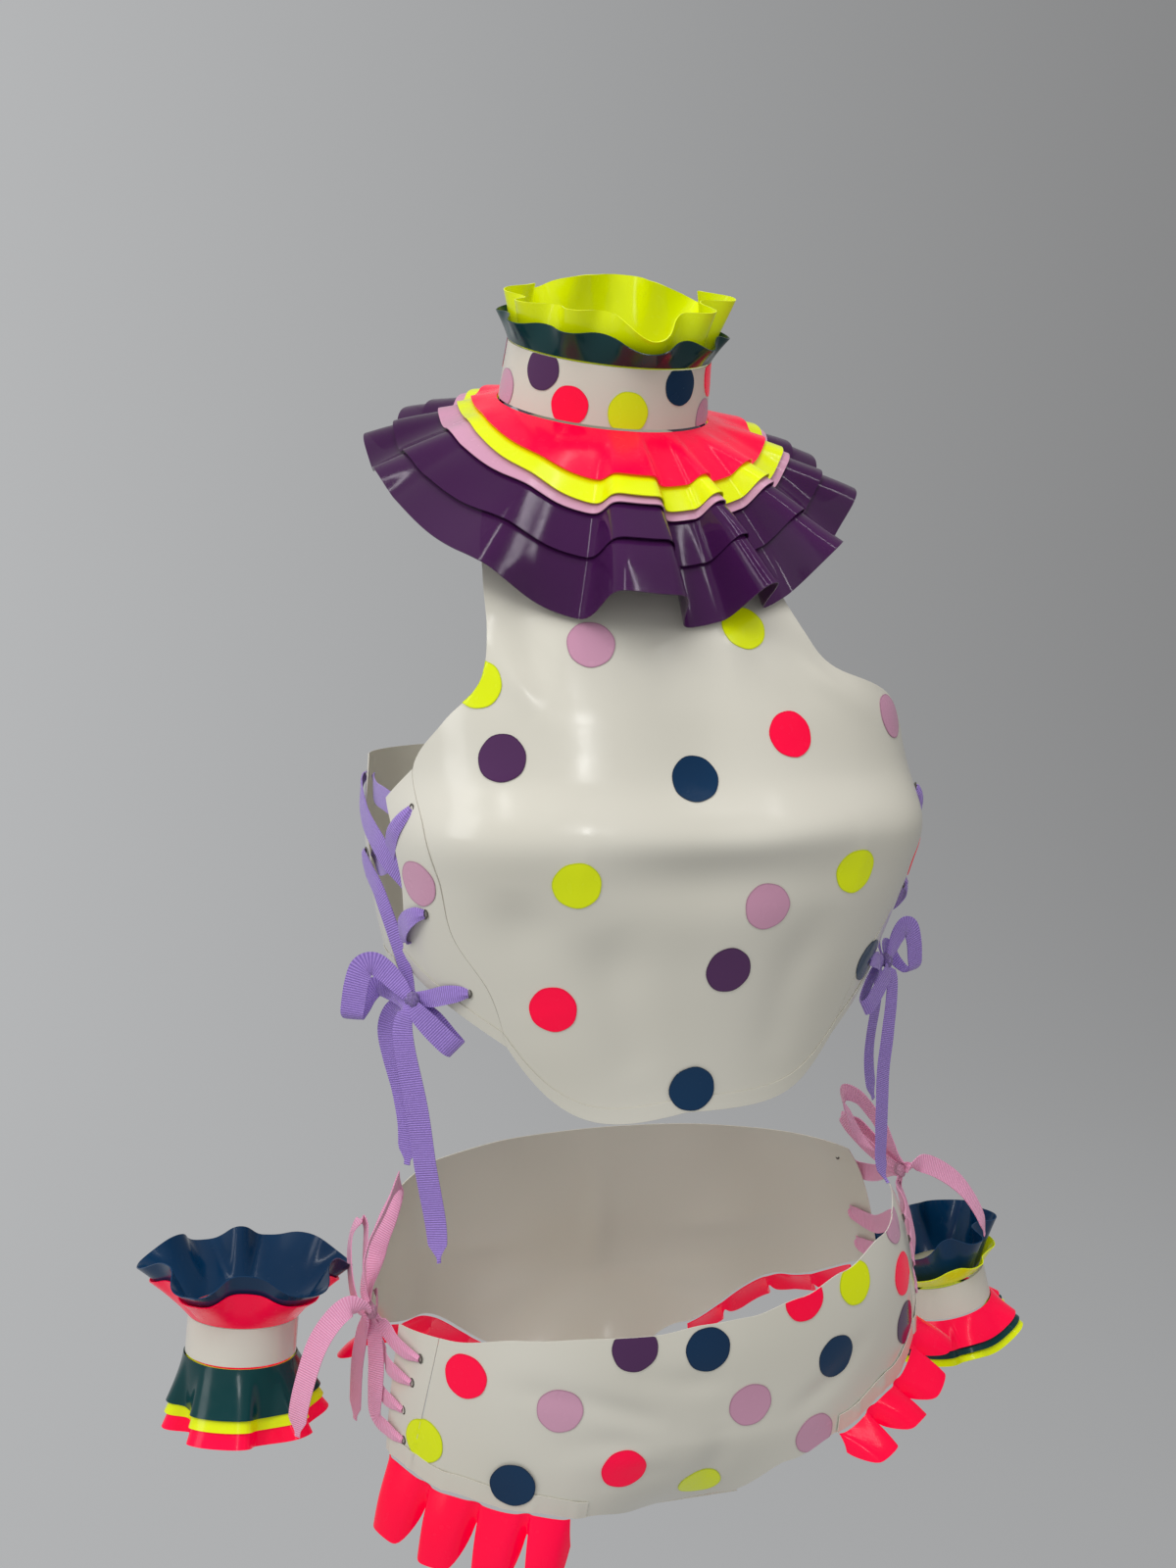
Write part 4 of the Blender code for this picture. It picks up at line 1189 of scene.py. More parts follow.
SEAM = 0.13  # degrees of azimuth that part two panels by GAP at their seam
TOP_AXIS = (0.015, -0.01)  # what the top's normals point away from, in metres
TOP_SLACK, TOP_SLACK_SIZE = 0.0009, 17.0
NECKBAND_RADIUS = 6.75
NECKBAND_LOW = -4.7
NECKBAND_HIGH = -3.5
NECKBAND_TAPER = 0.35
NECKLINE_REACH = 74.0
NECKLINE_DROP = 0.12
TOP_FRONT = (
    FrontRow(-9.8, -7.6, -8.2, -64, 52, 2.0),
    FrontRow(-11.8, -9.8, -10.4, -57, 46.5, 2.0),
    FrontRow(-14.2, -12.2, -12.4, -52, 46, 2.0),
    FrontRow(-16.8, -14.8, -14.2, -52.5, 50, 2.0),
    FrontRow(-18.8, -16.8, -15.9, -60, 66, 2.0),
    FrontRow(-20.8, -19.2, -18.4, -67, 68.5, 2.2),
    FrontRow(-22.8, -22.0, -21.8, -60.5, 62, 2.6),
    FrontRow(-25.0, -24.4, -24.8, -58, 60, 2.4),
    FrontRow(-28.8, -27.4, -27.8, -57, 59, 2.0),
    FrontRow(-32.8, -30.2, -30.6, -50.5, 54, 2.6, 0.3),
    FrontRow(-36.8, -33.2, -33.8, -48, 50, 5.0, 0.5),
)
SIDE_FIRST_ROW = 5
EASE = 0.05
FRONT_FINE_COLUMNS = 130
ROWS_BETWEEN = 9
HEM_WIDTH = 0.0085
HEM_OUT = 0.00062


class SideRow(NamedTuple):
    """A row of a laced side panel: its height and azimuth at the lacing. It ends on the front's edge."""

    height: float
    azimuth: float


TOP_SIDE_RIGHT = (
    SideRow(-20.8, -75.0), SideRow(-22.4, -70.0), SideRow(-24.4, -69.0), SideRow(-26.5, -70.5),
    SideRow(-28.2, -73.0), SideRow(-29.4, -75.0),
)
TOP_SIDE_LEFT = (
    SideRow(-19.8, 75.0), SideRow(-21.8, 73.0), SideRow(-24.2, 72.0), SideRow(-26.6, 72.0),
    SideRow(-28.4, 73.5), SideRow(-29.8, 74.5),
)
BACK_RIGHT_TOP, BACK_RIGHT_LOW = -96.0, -80.0
BACK_LEFT_TOP, BACK_LEFT_LOW = 92.0, 80.0
BACK_TOP, BACK_LOW = -19.0, -30.3

FRONT_CREASES = creases(
    (((-30, -23.6), (-10, -24.3), (8, -24.5), (26, -24.2), (40, -23.8)), 1.5, 0.50),
    (((-26, -22.3), (-8, -22.6), (8, -22.7), (24, -22.4), (38, -22.2)), 0.9, -0.16),
    (((-42, -24.6), (-42, -27.5), (-38, -31.5)), 1.5, 0.32),
    (((-24, -26.5), (-20, -30.0), (-14, -35.0)), 1.6, 0.26),
    (((34, -26.0), (30, -30.0), (27, -34.5)), 1.5, 0.24),
    (((-46, -10.5), (-42, -13.0), (-37, -15.5)), 0.8, 0.16),
    (((-52, -12.0), (-46, -14.5), (-40, -16.5)), 0.7, -0.12),
    (((40, -11.5), (47, -13.6), (58, -15.4)), 0.9, 0.18),
    (((34, -12.5), (42, -14.8), (54, -17.0)), 0.8, -0.12), (((2, -11.0), (3, -16.0), (3, -21.5)), 2.4, 0.22),
)
BACK_CREASES = creases(
    (((110, -21.0), (135, -22.5), (165, -22.8)), 1.1, 0.16),
    (((250, -21.0), (225, -22.6), (195, -22.9)), 1.1, 0.16),
    (((180, -20.0), (181, -24.0), (180, -29.5)), 1.6, 0.22),
    (((120, -28.0), (140, -26.6), (160, -26.9)), 0.9, -0.10),
    (((240, -28.0), (220, -26.6), (200, -26.9)), 0.9, -0.10),
)
TOP_DOTS = (
    Dot(26, -12.2, Shade.YELLOW), Dot(-26, -13.0, Shade.PINK), Dot(-54.5, -14.8, Shade.YELLOW),
    Dot(-47, -18.5, Shade.PURPLE), Dot(-2, -19.5, Shade.NAVY), Dot(27, -17.5, Shade.RED),
    Dot(62, -16.9, Shade.PINK), Dot(-30, -24.5, Shade.YELLOW), Dot(38, -24.5, Shade.YELLOW),
    Dot(17, -26.0, Shade.PINK), Dot(10, -29.2, Shade.PURPLE), Dot(-36, -31.0, Shade.RED),
    Dot(2, -35.5, Shade.NAVY, 1.2, HEM_DOT_OUT), Dot(-63.5, -24.8, Shade.PINK), Dot(69, -24.6, Shade.RED),
    Dot(-56, -7.9, Shade.NAVY), Dot(58, -30.0, Shade.NAVY), Dot(112, -22.0, Shade.NAVY),
    Dot(132, -26.5, Shade.RED), Dot(148, -20.6, Shade.PINK), Dot(166, -24.6, Shade.YELLOW),
    Dot(190, -28.0, Shade.PURPLE), Dot(196, -21.6, Shade.RED), Dot(216, -25.2, Shade.NAVY),
    Dot(236, -21.4, Shade.YELLOW), Dot(252, -26.8, Shade.PINK), Dot(100, -28.2, Shade.YELLOW),
)


def on_figure_grid(azimuth: np.ndarray, height: np.ndarray, ease: float = EASE) -> np.ndarray:
    """The points of the figure at each direction and height."""
    flat = [on_figure(a, h, ease) for a, h in zip(azimuth.ravel(), height.ravel())]
    return np.array(flat).reshape(azimuth.shape + (3,))


def front_place(place: float, share: float) -> tuple:
    """Where a point of the top's front lies: its azimuth and its height.

    Args:
        place: The place between the rows of the table.
        share: From the right edge at 0 to the left edge at 1.

    Returns:
        The azimuth in degrees and the height in cm.
    """
    height, right_height, left_height, right, left, flatness, sag = table_at(TOP_FRONT, place)
    azimuth = blend(right, left, share)
    edge_share = azimuth / (left if azimuth > 0 else right)
    edge_height = left_height if azimuth > 0 else right_height
    level = blend(height, edge_height, abs(edge_share) ** flatness)
    if azimuth < 0:
        level -= sag * math.sin(math.pi * edge_share)
    return azimuth, level


@dataclass
class CropTop:
    """The halter top: neckband, front, laced side panels, back and hems."""

    cloth: DottedCloth = field(default_factory=lambda: DottedCloth("top"))

    def build(self) -> None:
        """Builds and dresses the top."""
        grid = band_grid(NECKBAND_RADIUS, NECKBAND_LOW, NECKBAND_HIGH, NECKBAND_TAPER, NECK)
        cloth_for("top_neckband", grid, Shade.CREAM, ring=True)
        self.front()
        self.side("top_side_R", TOP_SIDE_RIGHT, 0.0)
        self.side("top_side_L", TOP_SIDE_LEFT, 1.0)
        self.back()
        middles = [on_figure(dot.azimuth, dot.height, EASE) for dot in TOP_DOTS]
        self.cloth.glue(TOP_DOTS, middles)

    def panel(
        self, node: str, azimuth: np.ndarray, height: np.ndarray, drawn: tuple, over: np.ndarray
    ) -> None:
        """Makes one panel with its creases and its hem.

        Args:
            node: The solid that it stands for.
            azimuth: Each point's direction.
            height: Each point's height.
            drawn: Its creases.
            over: Rows of points that come before the panel's own, or none.
        """
        points = on_figure_grid(azimuth, height)
        depth = crease_depth(drawn, azimuth, height) * CM
        points -= outward(points, TOP_AXIS) * depth[..., None]
        if len(over):
            points = np.concatenate([over, points])
        normal = outward(points, TOP_AXIS)
        points = slack(points, normal, TOP_SLACK, TOP_SLACK_SIZE, len(node))
        self.cloth.add(points, normal)
        piece = cloth_for(node, points, Shade.CREAM)
        hem = edge_strip(points, normal, HEM_WIDTH, HEM_OUT)
        strip = finished(grid_piece(f"{node}_hem", hem, wall=SHEET_WALL * 0.6), Shade.CREAM)

    def front(self) -> None:
        """The front, from the neckband's lower rim to its curved hem."""
        shares = np.linspace(0, 1, FRONT_FINE_COLUMNS + 1)
        places = np.linspace(0, len(TOP_FRONT) - 1, (len(TOP_FRONT) - 1) * ROWS_BETWEEN + 1)
        spots = np.array([[front_place(place, share) for share in shares] for place in places])
        azimuth, height = spots[..., 0], spots[..., 1]
        first, second = (on_figure_grid(azimuth[k], height[k]) for k in (0, ROWS_BETWEEN))
        around = np.radians(np.linspace(-NECKLINE_REACH, NECKLINE_REACH, FRONT_FINE_COLUMNS + 1))
        rim = np.full_like(around, NECKBAND_LOW - NECKLINE_DROP)
        ring = np.stack([NECKBAND_RADIUS * np.sin(around), -NECKBAND_RADIUS * np.cos(around), rim], 1) * CM
        over = catmull(np.stack([placed(ring, NECK), first, second]), ROWS_BETWEEN)[:ROWS_BETWEEN]
        self.panel("top_front", azimuth, height, FRONT_CREASES, over)

    def side(self, node: str, rows: tuple, share: float) -> None:
        """A laced side panel, between the front's edge and the lacing.

        Args:
            node: The solid that it stands for.
            rows: Its laced edge.
            share: Which edge of the front it joins, 0 for the right and 1 for the left.
        """
        places = np.linspace(0, len(rows) - 1, (len(rows) - 1) * ROWS_BETWEEN + 1)
        azimuth, height = [], []
        for place in places:
            seam, seam_height = front_place(SIDE_FIRST_ROW + place, share)
            seam += math.copysign(SEAM, seam)
            laced_height, laced = table_at(rows, place)
            shares = np.linspace(0, 1, 19)
            shares = shares[::-1] if share == 0.0 else shares
            azimuth.append(seam + (laced - seam) * shares)
            height.append(seam_height + (laced_height - seam_height) * shares)
        self.panel(node, np.array(azimuth), np.array(height), (), np.empty((0, 0, 3)))

    def back(self) -> None:
        """The back, between the two lacings."""
        down = np.linspace(0, 1, 37)[:, None]
        shares = np.linspace(0, 1, 131)[None, :]
        start = blend(BACK_LEFT_TOP, BACK_LEFT_LOW, down)
        end = 360 + blend(BACK_RIGHT_TOP, BACK_RIGHT_LOW, down)
        azimuth = start + (end - start) * shares
        height = blend(BACK_TOP, BACK_LOW, down) + 0 * shares
        self.panel("top_back", azimuth, height, BACK_CREASES, np.empty((0, 0, 3)))


# ---------------------------------------------------------------- briefs


class WaistPoint(NamedTuple):
    """The briefs' edges in a direction round the figure, in cm: the waist, and the leg or crotch edge."""

    azimuth: float
    waist: float
    leg: float


BRIEFS_EDGES = (
    WaistPoint(-180.0, -44.3, -60.2),
    WaistPoint(-150.0, -44.3, -58.4),
    WaistPoint(-124.0, -44.4, -54.8),
    WaistPoint(-98.0, -45.6, -52.6),
    WaistPoint(-75.0, -49.2, -56.7),
    WaistPoint(-62.0, -49.1, -57.5),
    WaistPoint(-46.0, -48.5, -58.1),
    WaistPoint(-30.0, -48.3, -58.7),
    WaistPoint(-15.0, -48.3, -59.4),
    WaistPoint(0.0, -48.0, -59.6),
    WaistPoint(13.0, -47.9, -59.0),
    WaistPoint(28.0, -47.4, -56.9),
    WaistPoint(42.0, -46.7, -55.9),
    WaistPoint(57.0, -45.8, -54.6),
    WaistPoint(75.0, -44.8, -52.6),
    WaistPoint(99.0, -44.4, -52.2),
    WaistPoint(124.0, -44.4, -54.8),
    WaistPoint(150.0, -44.3, -58.4),
    WaistPoint(180.0, -44.3, -60.2),
)
TUCK_DEPTH = 3.4
TUCK_HALF_WIDTH = 5.0
TUCK_START, TUCK_END = -54.5, -60.4
GUSSET_FRONT_HALF, GUSSET_BACK_HALF = 3.4, 3.8
GUSSET_LOW = -61.8
GUSSET_CURVE = 0.0035
GUSSET_ROWS, GUSSET_COLUMNS = 31, 25
BRIEFS_AXIS = (0.023, 0.0)  # what the briefs' normals point away from, in metres
BRIEFS_SLACK, BRIEFS_SLACK_SIZE = 0.0008, 20.0
GAP = 0.0003
CAD_WALL = 0.0011


def edge_at(azimuth: float, column: str) -> float:
    """The height of the briefs' waist or leg edge in this direction, eased between the rows.

    Args:
        azimuth: The direction in degrees.
        column: Which edge, waist or leg.

    Returns:
        The height in cm.
    """
    azimuth = (azimuth + 180) % 360 - 180
    k = next(i for i in range(len(BRIEFS_EDGES) - 1) if azimuth <= BRIEFS_EDGES[i + 1].azimuth)
    before, after = BRIEFS_EDGES[k], BRIEFS_EDGES[k + 1]
    share = (azimuth - before.azimuth) / (after.azimuth - before.azimuth)
    return blend(getattr(before, column), getattr(after, column), share * share * (3 - 2 * share))


def briefs_point(azimuth: float, share: float, ease: float = 0.05) -> Vector:
    """A point of the briefs, drawn in towards the crotch low in the middle.

    Args:
        azimuth: The direction in degrees.
        share: From the waist at 0 to the leg edge at 1.
        ease: How far outside the figure it lies, in cm.

    Returns:
        The point in metres.
    """
    height = blend(edge_at(azimuth, "waist"), edge_at(azimuth, "leg"), share)
    point = on_figure(azimuth, height, ease)
    middle = smooth(FIGURE, "centre_x", height) * CM
    low = limited((TUCK_START - height) / (TUCK_START - TUCK_END), 0.0, 1.0)
    inward = TUCK_DEPTH * CM * low**1.6 * math.exp(-(((point.x - middle) / (TUCK_HALF_WIDTH * CM)) ** 2))
    point.y += math.copysign(inward, -point.y)
    return point


class Hip(NamedTuple):
    """Where a hip is cut: the azimuths of the seam and of both laced edges, each at the waist and the leg."""

    seam_waist: float
    seam_leg: float
    laced_waist: float
    laced_leg: float
    back_waist: float
    back_leg: float


HIP_RIGHT = Hip(-64.0, -70.0, -75.0, -77.5, -98.0, -96.0)
HIP_LEFT = Hip(66.0, 70.0, 79.0, 80.5, 100.0, 98.0)
BRIEFS_FINE_ROWS = 40
LEG_TAPE_WIDTH = 0.011
LEG_TAPE_OUT, TUCK_OUT = 0.0008, 0.0018  # how far the tape and its tucks lie off the cloth, in metres
LEG_TAPE_STEPS = 6
TUCK_SHARPNESS, TUCK_SHARE = 6, 0.8
TAPE_WALL_SHARE = 0.7  # of a sheet's wall
LEG_EDGE_HEIGHT = -56.0
LEG_TAPES = (
    ("leg_tape_front_R", -77.0, -33.0),
    ("leg_tape_front_L", 41.5, 79.5),
    ("leg_tape_back_L", 106.5, 150.5),
    ("leg_tape_back_R", 209.5, 263.5),
)
TUCKS_PER_CM = 0.55

BRIEFS_CREASES = creases(
    (((-48, -51.2), (-34, -51.6), (-20, -52.6), (-10, -53.4)), 0.7, 0.14),
    (((-40, -54.6), (-26, -54.2), (-10, -55.0)), 0.8, 0.12),
    (((-30, -56.6), (-16, -56.2), (-4, -56.8)), 0.7, 0.10),
    (((-20, -50.4), (-6, -51.0), (8, -51.2)), 0.7, 0.10),
    (((48, -50.6), (38, -52.4), (24, -54.0)), 0.7, 0.12), (((4, -53.6), (5, -56.0), (4, -58.5)), 1.0, 0.14),
    (((180, -46.5), (180, -52.0), (180, -57.0)), 1.2, 0.26),
    (((120, -50.0), (140, -51.4), (160, -51.8)), 0.8, 0.12),
    (((240, -50.0), (220, -51.4), (200, -51.8)), 0.8, 0.12),
    (((130, -54.4), (146, -55.4), (162, -55.2)), 0.8, 0.12),
    (((230, -54.4), (214, -55.4), (198, -55.2)), 0.8, 0.12),
)
BRIEFS_DOTS = (
    Dot(-58, -50.8, Shade.RED), Dot(-20, -48.9, Shade.PURPLE), Dot(0, -49.3, Shade.NAVY),
    Dot(29, -47.5, Shade.RED), Dot(45, -47.5, Shade.YELLOW), Dot(64, -48.6, Shade.RED),
    Dot(64, -51.5, Shade.PURPLE), Dot(64, -45.6, Shade.PINK), Dot(38, -51.2, Shade.NAVY),
    Dot(13, -52.8, Shade.PINK), Dot(-38, -52.2, Shade.PINK), Dot(34, -55.5, Shade.PINK),
    Dot(-22, -55.8, Shade.RED), Dot(3, -57.8, Shade.YELLOW), Dot(-48, -56.5, Shade.NAVY, 1.2, TAPE_DOT_OUT),
    Dot(-67, -55.0, Shade.YELLOW), Dot(108, -47.2, Shade.YELLOW), Dot(122, -50.6, Shade.NAVY),
    Dot(140, -46.4, Shade.RED), Dot(146, -53.4, Shade.PINK), Dot(162, -49.0, Shade.PURPLE),
    Dot(172, -55.8, Shade.YELLOW), Dot(190, -46.2, Shade.PINK), Dot(198, -51.8, Shade.RED),
    Dot(212, -47.8, Shade.NAVY), Dot(222, -53.6, Shade.YELLOW), Dot(240, -48.6, Shade.PURPLE),
    Dot(252, -51.6, Shade.RED),
)


@dataclass
class Briefs:
    """The briefs: front, laced side strips, back, gusset and leg tapes."""

    cloth: DottedCloth = field(default_factory=lambda: DottedCloth("briefs"))

    def build(self) -> None:
        """Builds and dresses the briefs."""
        right, left = HIP_RIGHT, HIP_LEFT
        seam_right, seam_left = (right.seam_waist, right.seam_leg), (left.seam_waist, left.seam_leg)
        past_right = tuple(azimuth - SEAM for azimuth in seam_right)
        past_left = tuple(azimuth + SEAM for azimuth in seam_left)
        back_left = (left.back_waist, left.back_leg)
        back_right = (360 + right.back_waist, 360 + right.back_leg)
        self.panel("briefs_front", seam_right, seam_left, 140, 2)
        self.panel("briefs_side_R", (right.laced_waist, right.laced_leg), past_right, 14, 3)
        self.panel("briefs_side_L", past_left, (left.laced_waist, left.laced_leg), 14, 4)
        self.panel("briefs_back", back_left, back_right, 140, 5)
        self.gusset()
        for name, start, end in LEG_TAPES:
            self.tape(name, start, end)
        middles = [briefs_point(dot.azimuth, self.share_at(dot)) for dot in BRIEFS_DOTS]
        self.cloth.glue(BRIEFS_DOTS, middles)

    @staticmethod
    def share_at(dot: Dot) -> float:
        """How far from the waist to the leg edge a dot's middle lies."""
        waist, leg = edge_at(dot.azimuth, "waist"), edge_at(dot.azimuth, "leg")
        return (waist - dot.height) / (waist - leg)

    def panel(self, node: str, start: tuple, end: tuple, columns: int, seed: float) -> None:
        """Makes one panel between two cut edges, each given by its azimuths at the waist and at the leg.

        Args:
            node: The solid that it stands for.
            start: One edge.
            end: The other edge.
            columns: How many faces it has across.
            seed: Where in the noise its slack waves lie.
        """
        shares = np.linspace(0, 1, BRIEFS_FINE_ROWS + 1)
        ends = [(blend(*start, share), blend(*end, share)) for share in shares]
        azimuth = np.array([np.linspace(first, last, columns + 1) for first, last in ends])
        points = np.array([[briefs_point(a, share) for a in row] for row, share in zip(azimuth, shares)])
        depth = crease_depth(BRIEFS_CREASES, azimuth, points[..., 2] / CM) * CM
        normal = outward(points, BRIEFS_AXIS)
        points = slack(points - normal * depth[..., None], normal, BRIEFS_SLACK, BRIEFS_SLACK_SIZE, seed)
        normal = outward(points, BRIEFS_AXIS)
        self.cloth.add(points, normal)
        cloth_for(node, points, Shade.CREAM)

    def gusset(self) -> None:
        """The strip under the crotch, from the front's lowest edge to the back's."""
        centre = smooth(FIGURE, "centre_x", TUCK_END) * CM
        front, back = briefs_point(0.0, 1.0), briefs_point(180.0, 1.0)
        lowest = GAP + CAD_WALL / 2
        rows = []
        for share in np.linspace(0, 1, GUSSET_ROWS):
            half = blend(GUSSET_FRONT_HALF, GUSSET_BACK_HALF, share) * CM
            sag = 4 * share * (1 - share)
            y = blend(front.y, back.y, share)
            z = blend(blend(front.z, back.z, share) - lowest, GUSSET_LOW * CM, sag)
            across = np.linspace(-1, 1, GUSSET_COLUMNS)
            rows.append([(centre + off * half, y, z + GUSSET_CURVE * off * off * sag) for off in across])
        cloth_for("briefs_gusset", np.array(rows), Shade.CREAM)

    def tape(self, name: str, start: float, end: float) -> None:
        """The tape that holds a leg ruffle: a band on the leg edge with small uneven tucks.

        Args:
            name: The piece's name.
            start: Where it starts round the figure, in degrees.
            end: Where it ends.
        """
        grid = self.around(start, end)
        normal = outward(grid, BRIEFS_AXIS)
        tape = edge_strip(grid, normal, LEG_TAPE_WIDTH, LEG_TAPE_OUT, LEG_TAPE_STEPS)
        run = lengths_along(tape[-1]) / CM
        phase = 2 * np.pi * TUCKS_PER_CM * run + 1.3 * np.sin(0.9 * run)
        tuck = np.maximum(np.cos(phase), 0.0) ** TUCK_SHARPNESS * (0.7 + 0.3 * np.sin(1.7 * run))
        away = edge_strip(grid, normal, LEG_TAPE_WIDTH, TUCK_OUT, LEG_TAPE_STEPS) - tape
        fade = np.linspace(0.5, 1.0, tape.shape[0])[:, None, None]
        tape = tape + away * tuck[None, :, None] * fade * TUCK_SHARE
        piece = finished(grid_piece(name, tape, wall=SHEET_WALL * TAPE_WALL_SHARE), Shade.CREAM)

    def around(self, start: float, end: float) -> np.ndarray:
        """The briefs' cloth along one stretch of the leg edge, drawn from the panels' own points.

        Args:
            start: Where the stretch starts round the figure, in degrees.
            end: Where it ends.

        Returns:
            The stretch's points, the leg edge last.
        """
        found = []
        middle = smooth(FIGURE, "centre_x", LEG_EDGE_HEIGHT) * CM
        for grid, _ in self.cloth.grids:
            edge = grid[-1]
            azimuth = np.degrees(np.arctan2(edge[:, 0] - middle, -edge[:, 1])) % 360
            for i, value in enumerate(azimuth):
                found.append((value, grid[:, i]))
        low, high = start % 360, end % 360
        if low > high:
            found = [((value - low) % 360, column) for value, column in found]
            low, high = 0.0, (end - start)
        found = sorted((item for item in found if low <= item[0] <= high), key=lambda item: item[0])
        return np.stack([column for _, column in found], 1)


# ---------------------------------------------------------------- leg ruffles


class LegRuffle(NamedTuple):
    """A row of flat tabs on a leg edge between two azimuths, in cm and degrees from straight down.

    The drop is how far its gathered root lies below the edge's last row.
    """

    name: str
    start: float
    end: float
    tabs: int
    length: float
    flare: float
    drop: float


LEG_RUFFLES = (
    LegRuffle("leg_ruffle_front_R", -76.5, -34.0, 4, 3.6, 8, 0.14),
    LegRuffle("leg_ruffle_front_L", 42.0, 79.0, 4, 2.3, 38, 0.16),
    LegRuffle("leg_ruffle_back_R", -150.0, -97.0, 5, 2.2, 30, 0.22),
    LegRuffle("leg_ruffle_back_L", 107.0, 150.0, 4, 2.0, 22, 0.20),
)
TAB_SHAPE = ((0.0, 0.0), (0.10, 0.75), (0.30, 1.0), (0.58, 1.0), (0.78, 0.75), (0.90, 0.0))
TAB_DEPTH = 0.95
TAB_ROOT_DEPTH = 0.15
TAB_MIDDLE, TAB_FLAT, CORNER_RISE = 0.44, 0.24, 0.07
GAP_PLACE, GAP_REACH, GAP_RISE, GAP_DEPTH = 0.945, 0.125, 0.62, 0.6
TAB_BELLY, TAB_EDGE_BELLY = 0.18, 0.4
TAB_LOBE_STEPS, TAB_LENGTH_STEPS = 5, 15


@dataclass
class LegTabs:
    """A red ruffle of flat tabs that hangs from a leg edge."""

    part: LegRuffle

    def build(self) -> None:
        """Builds the strip, folded out flat for each tab and back in between, with rounded lower corners."""
        part = self.part
        middle = FIGURE[-1].centre_x * CM
        flare = math.radians(part.flare)
        knots = [(tab + share, out) for tab in range(part.tabs) for share, out in TAB_SHAPE]
        places = catmull(np.array(knots), TAB_LOBE_STEPS)
        columns = []
        for place, out in places:
            azimuth = blend(part.start, part.end, limited(place / part.tabs, 0.0, 1.0))
            root = briefs_point(azimuth, 1.0)
            away = Vector((root.x - middle, root.y, 0.0)).normalized()
            root.z -= part.drop * CM
            tab = place % 1.0
            apart = min(abs(tab - GAP_PLACE), abs(tab + 1 - GAP_PLACE))
            gap = math.exp(-((apart / GAP_REACH) ** 2))
            corner = min(max(abs(tab - TAB_MIDDLE) - TAB_FLAT, 0.0) / (0.5 - TAB_FLAT), 1.0)
            short = 1.0 - CORNER_RISE * corner**2 - GAP_RISE * gap
            deep = TAB_DEPTH * (out - GAP_DEPTH * gap)
            aside = part.length * math.sin(flare) + deep * math.cos(flare)
            down = part.length * math.cos(flare) - deep * math.sin(flare)
            top = root + away * (TAB_ROOT_DEPTH * out) * CM
            low = root + (away * aside - Vector((0.0, 0.0, down))) * CM
            line = []
            for share in np.linspace(0, 1, TAB_LENGTH_STEPS):
                belly = TAB_BELLY * math.sin(math.pi * share) * CM
                line.append(top.lerp(low, share * short) + away * belly * blend(TAB_EDGE_BELLY, 1.0, out))
            columns.append([tuple(point) for point in line])
        cloth_for(part.name, np.array(columns).transpose(1, 0, 2), Shade.RED)


# ---------------------------------------------------------------- ribbons


class Pass(NamedTuple):
    """A point that a ribbon passes, in degrees and cm.

    The turn is how far its flat side faces ahead of straight outward.
    """

    azimuth: float
    height: float
    off: float
    width: float = 1.2
    turn: float = 0.0


FINE_STEPS = 8
TIP_LENGTH = 0.009
TIP_SHARE = 0.3
TURN_LIMIT = 0.35  # below this share of its run along the figure a ribbon keeps its direction
BUNCH_FROM, BUNCH_MOST = 1.1, 0.7  # a ribbon bunches where it is narrower than the first, in cm
BUNCH_ARCH, BUNCH_PLEAT, PLEAT_TURNS = 0.22, 0.05, 14
RIBBON_COLUMNS = 9
KNOT_RADIUS = 0.0045
KNOT_SCALE = (1.22, 0.70, 1.0, 1.0)
KNOT_PINCH, KNOT_PINCH_HALF = 0.20, 0.0016
KNOT_GROOVE, KNOT_GROOVES, KNOT_GROOVE_SLANT = 0.05, 9, 900
KNOT_ANGLE = 60.0  # below which an edge of a knot or a lace hole is shaded smooth, in degrees
LIP_RADIUS, LIP_WIDTH = 0.0016, 0.00042
LIP_SCALE = (1.0, 1.35, 1.0, 1.0)
LIP_OUT = 0.045


class Lacing(NamedTuple):
    """One side's ribbon: the strands of its two laces, its knot, and two ends, each a loop and a tail."""

    name: str
    shade: Shade
    lace_a: tuple
    lace_b: tuple
    knot: Pass
    end_a: tuple
    end_b: tuple


def through(*rows: tuple) -> tuple:
    """The points that a ribbon passes, from rows of their values."""
    return tuple(Pass(*row) for row in rows)


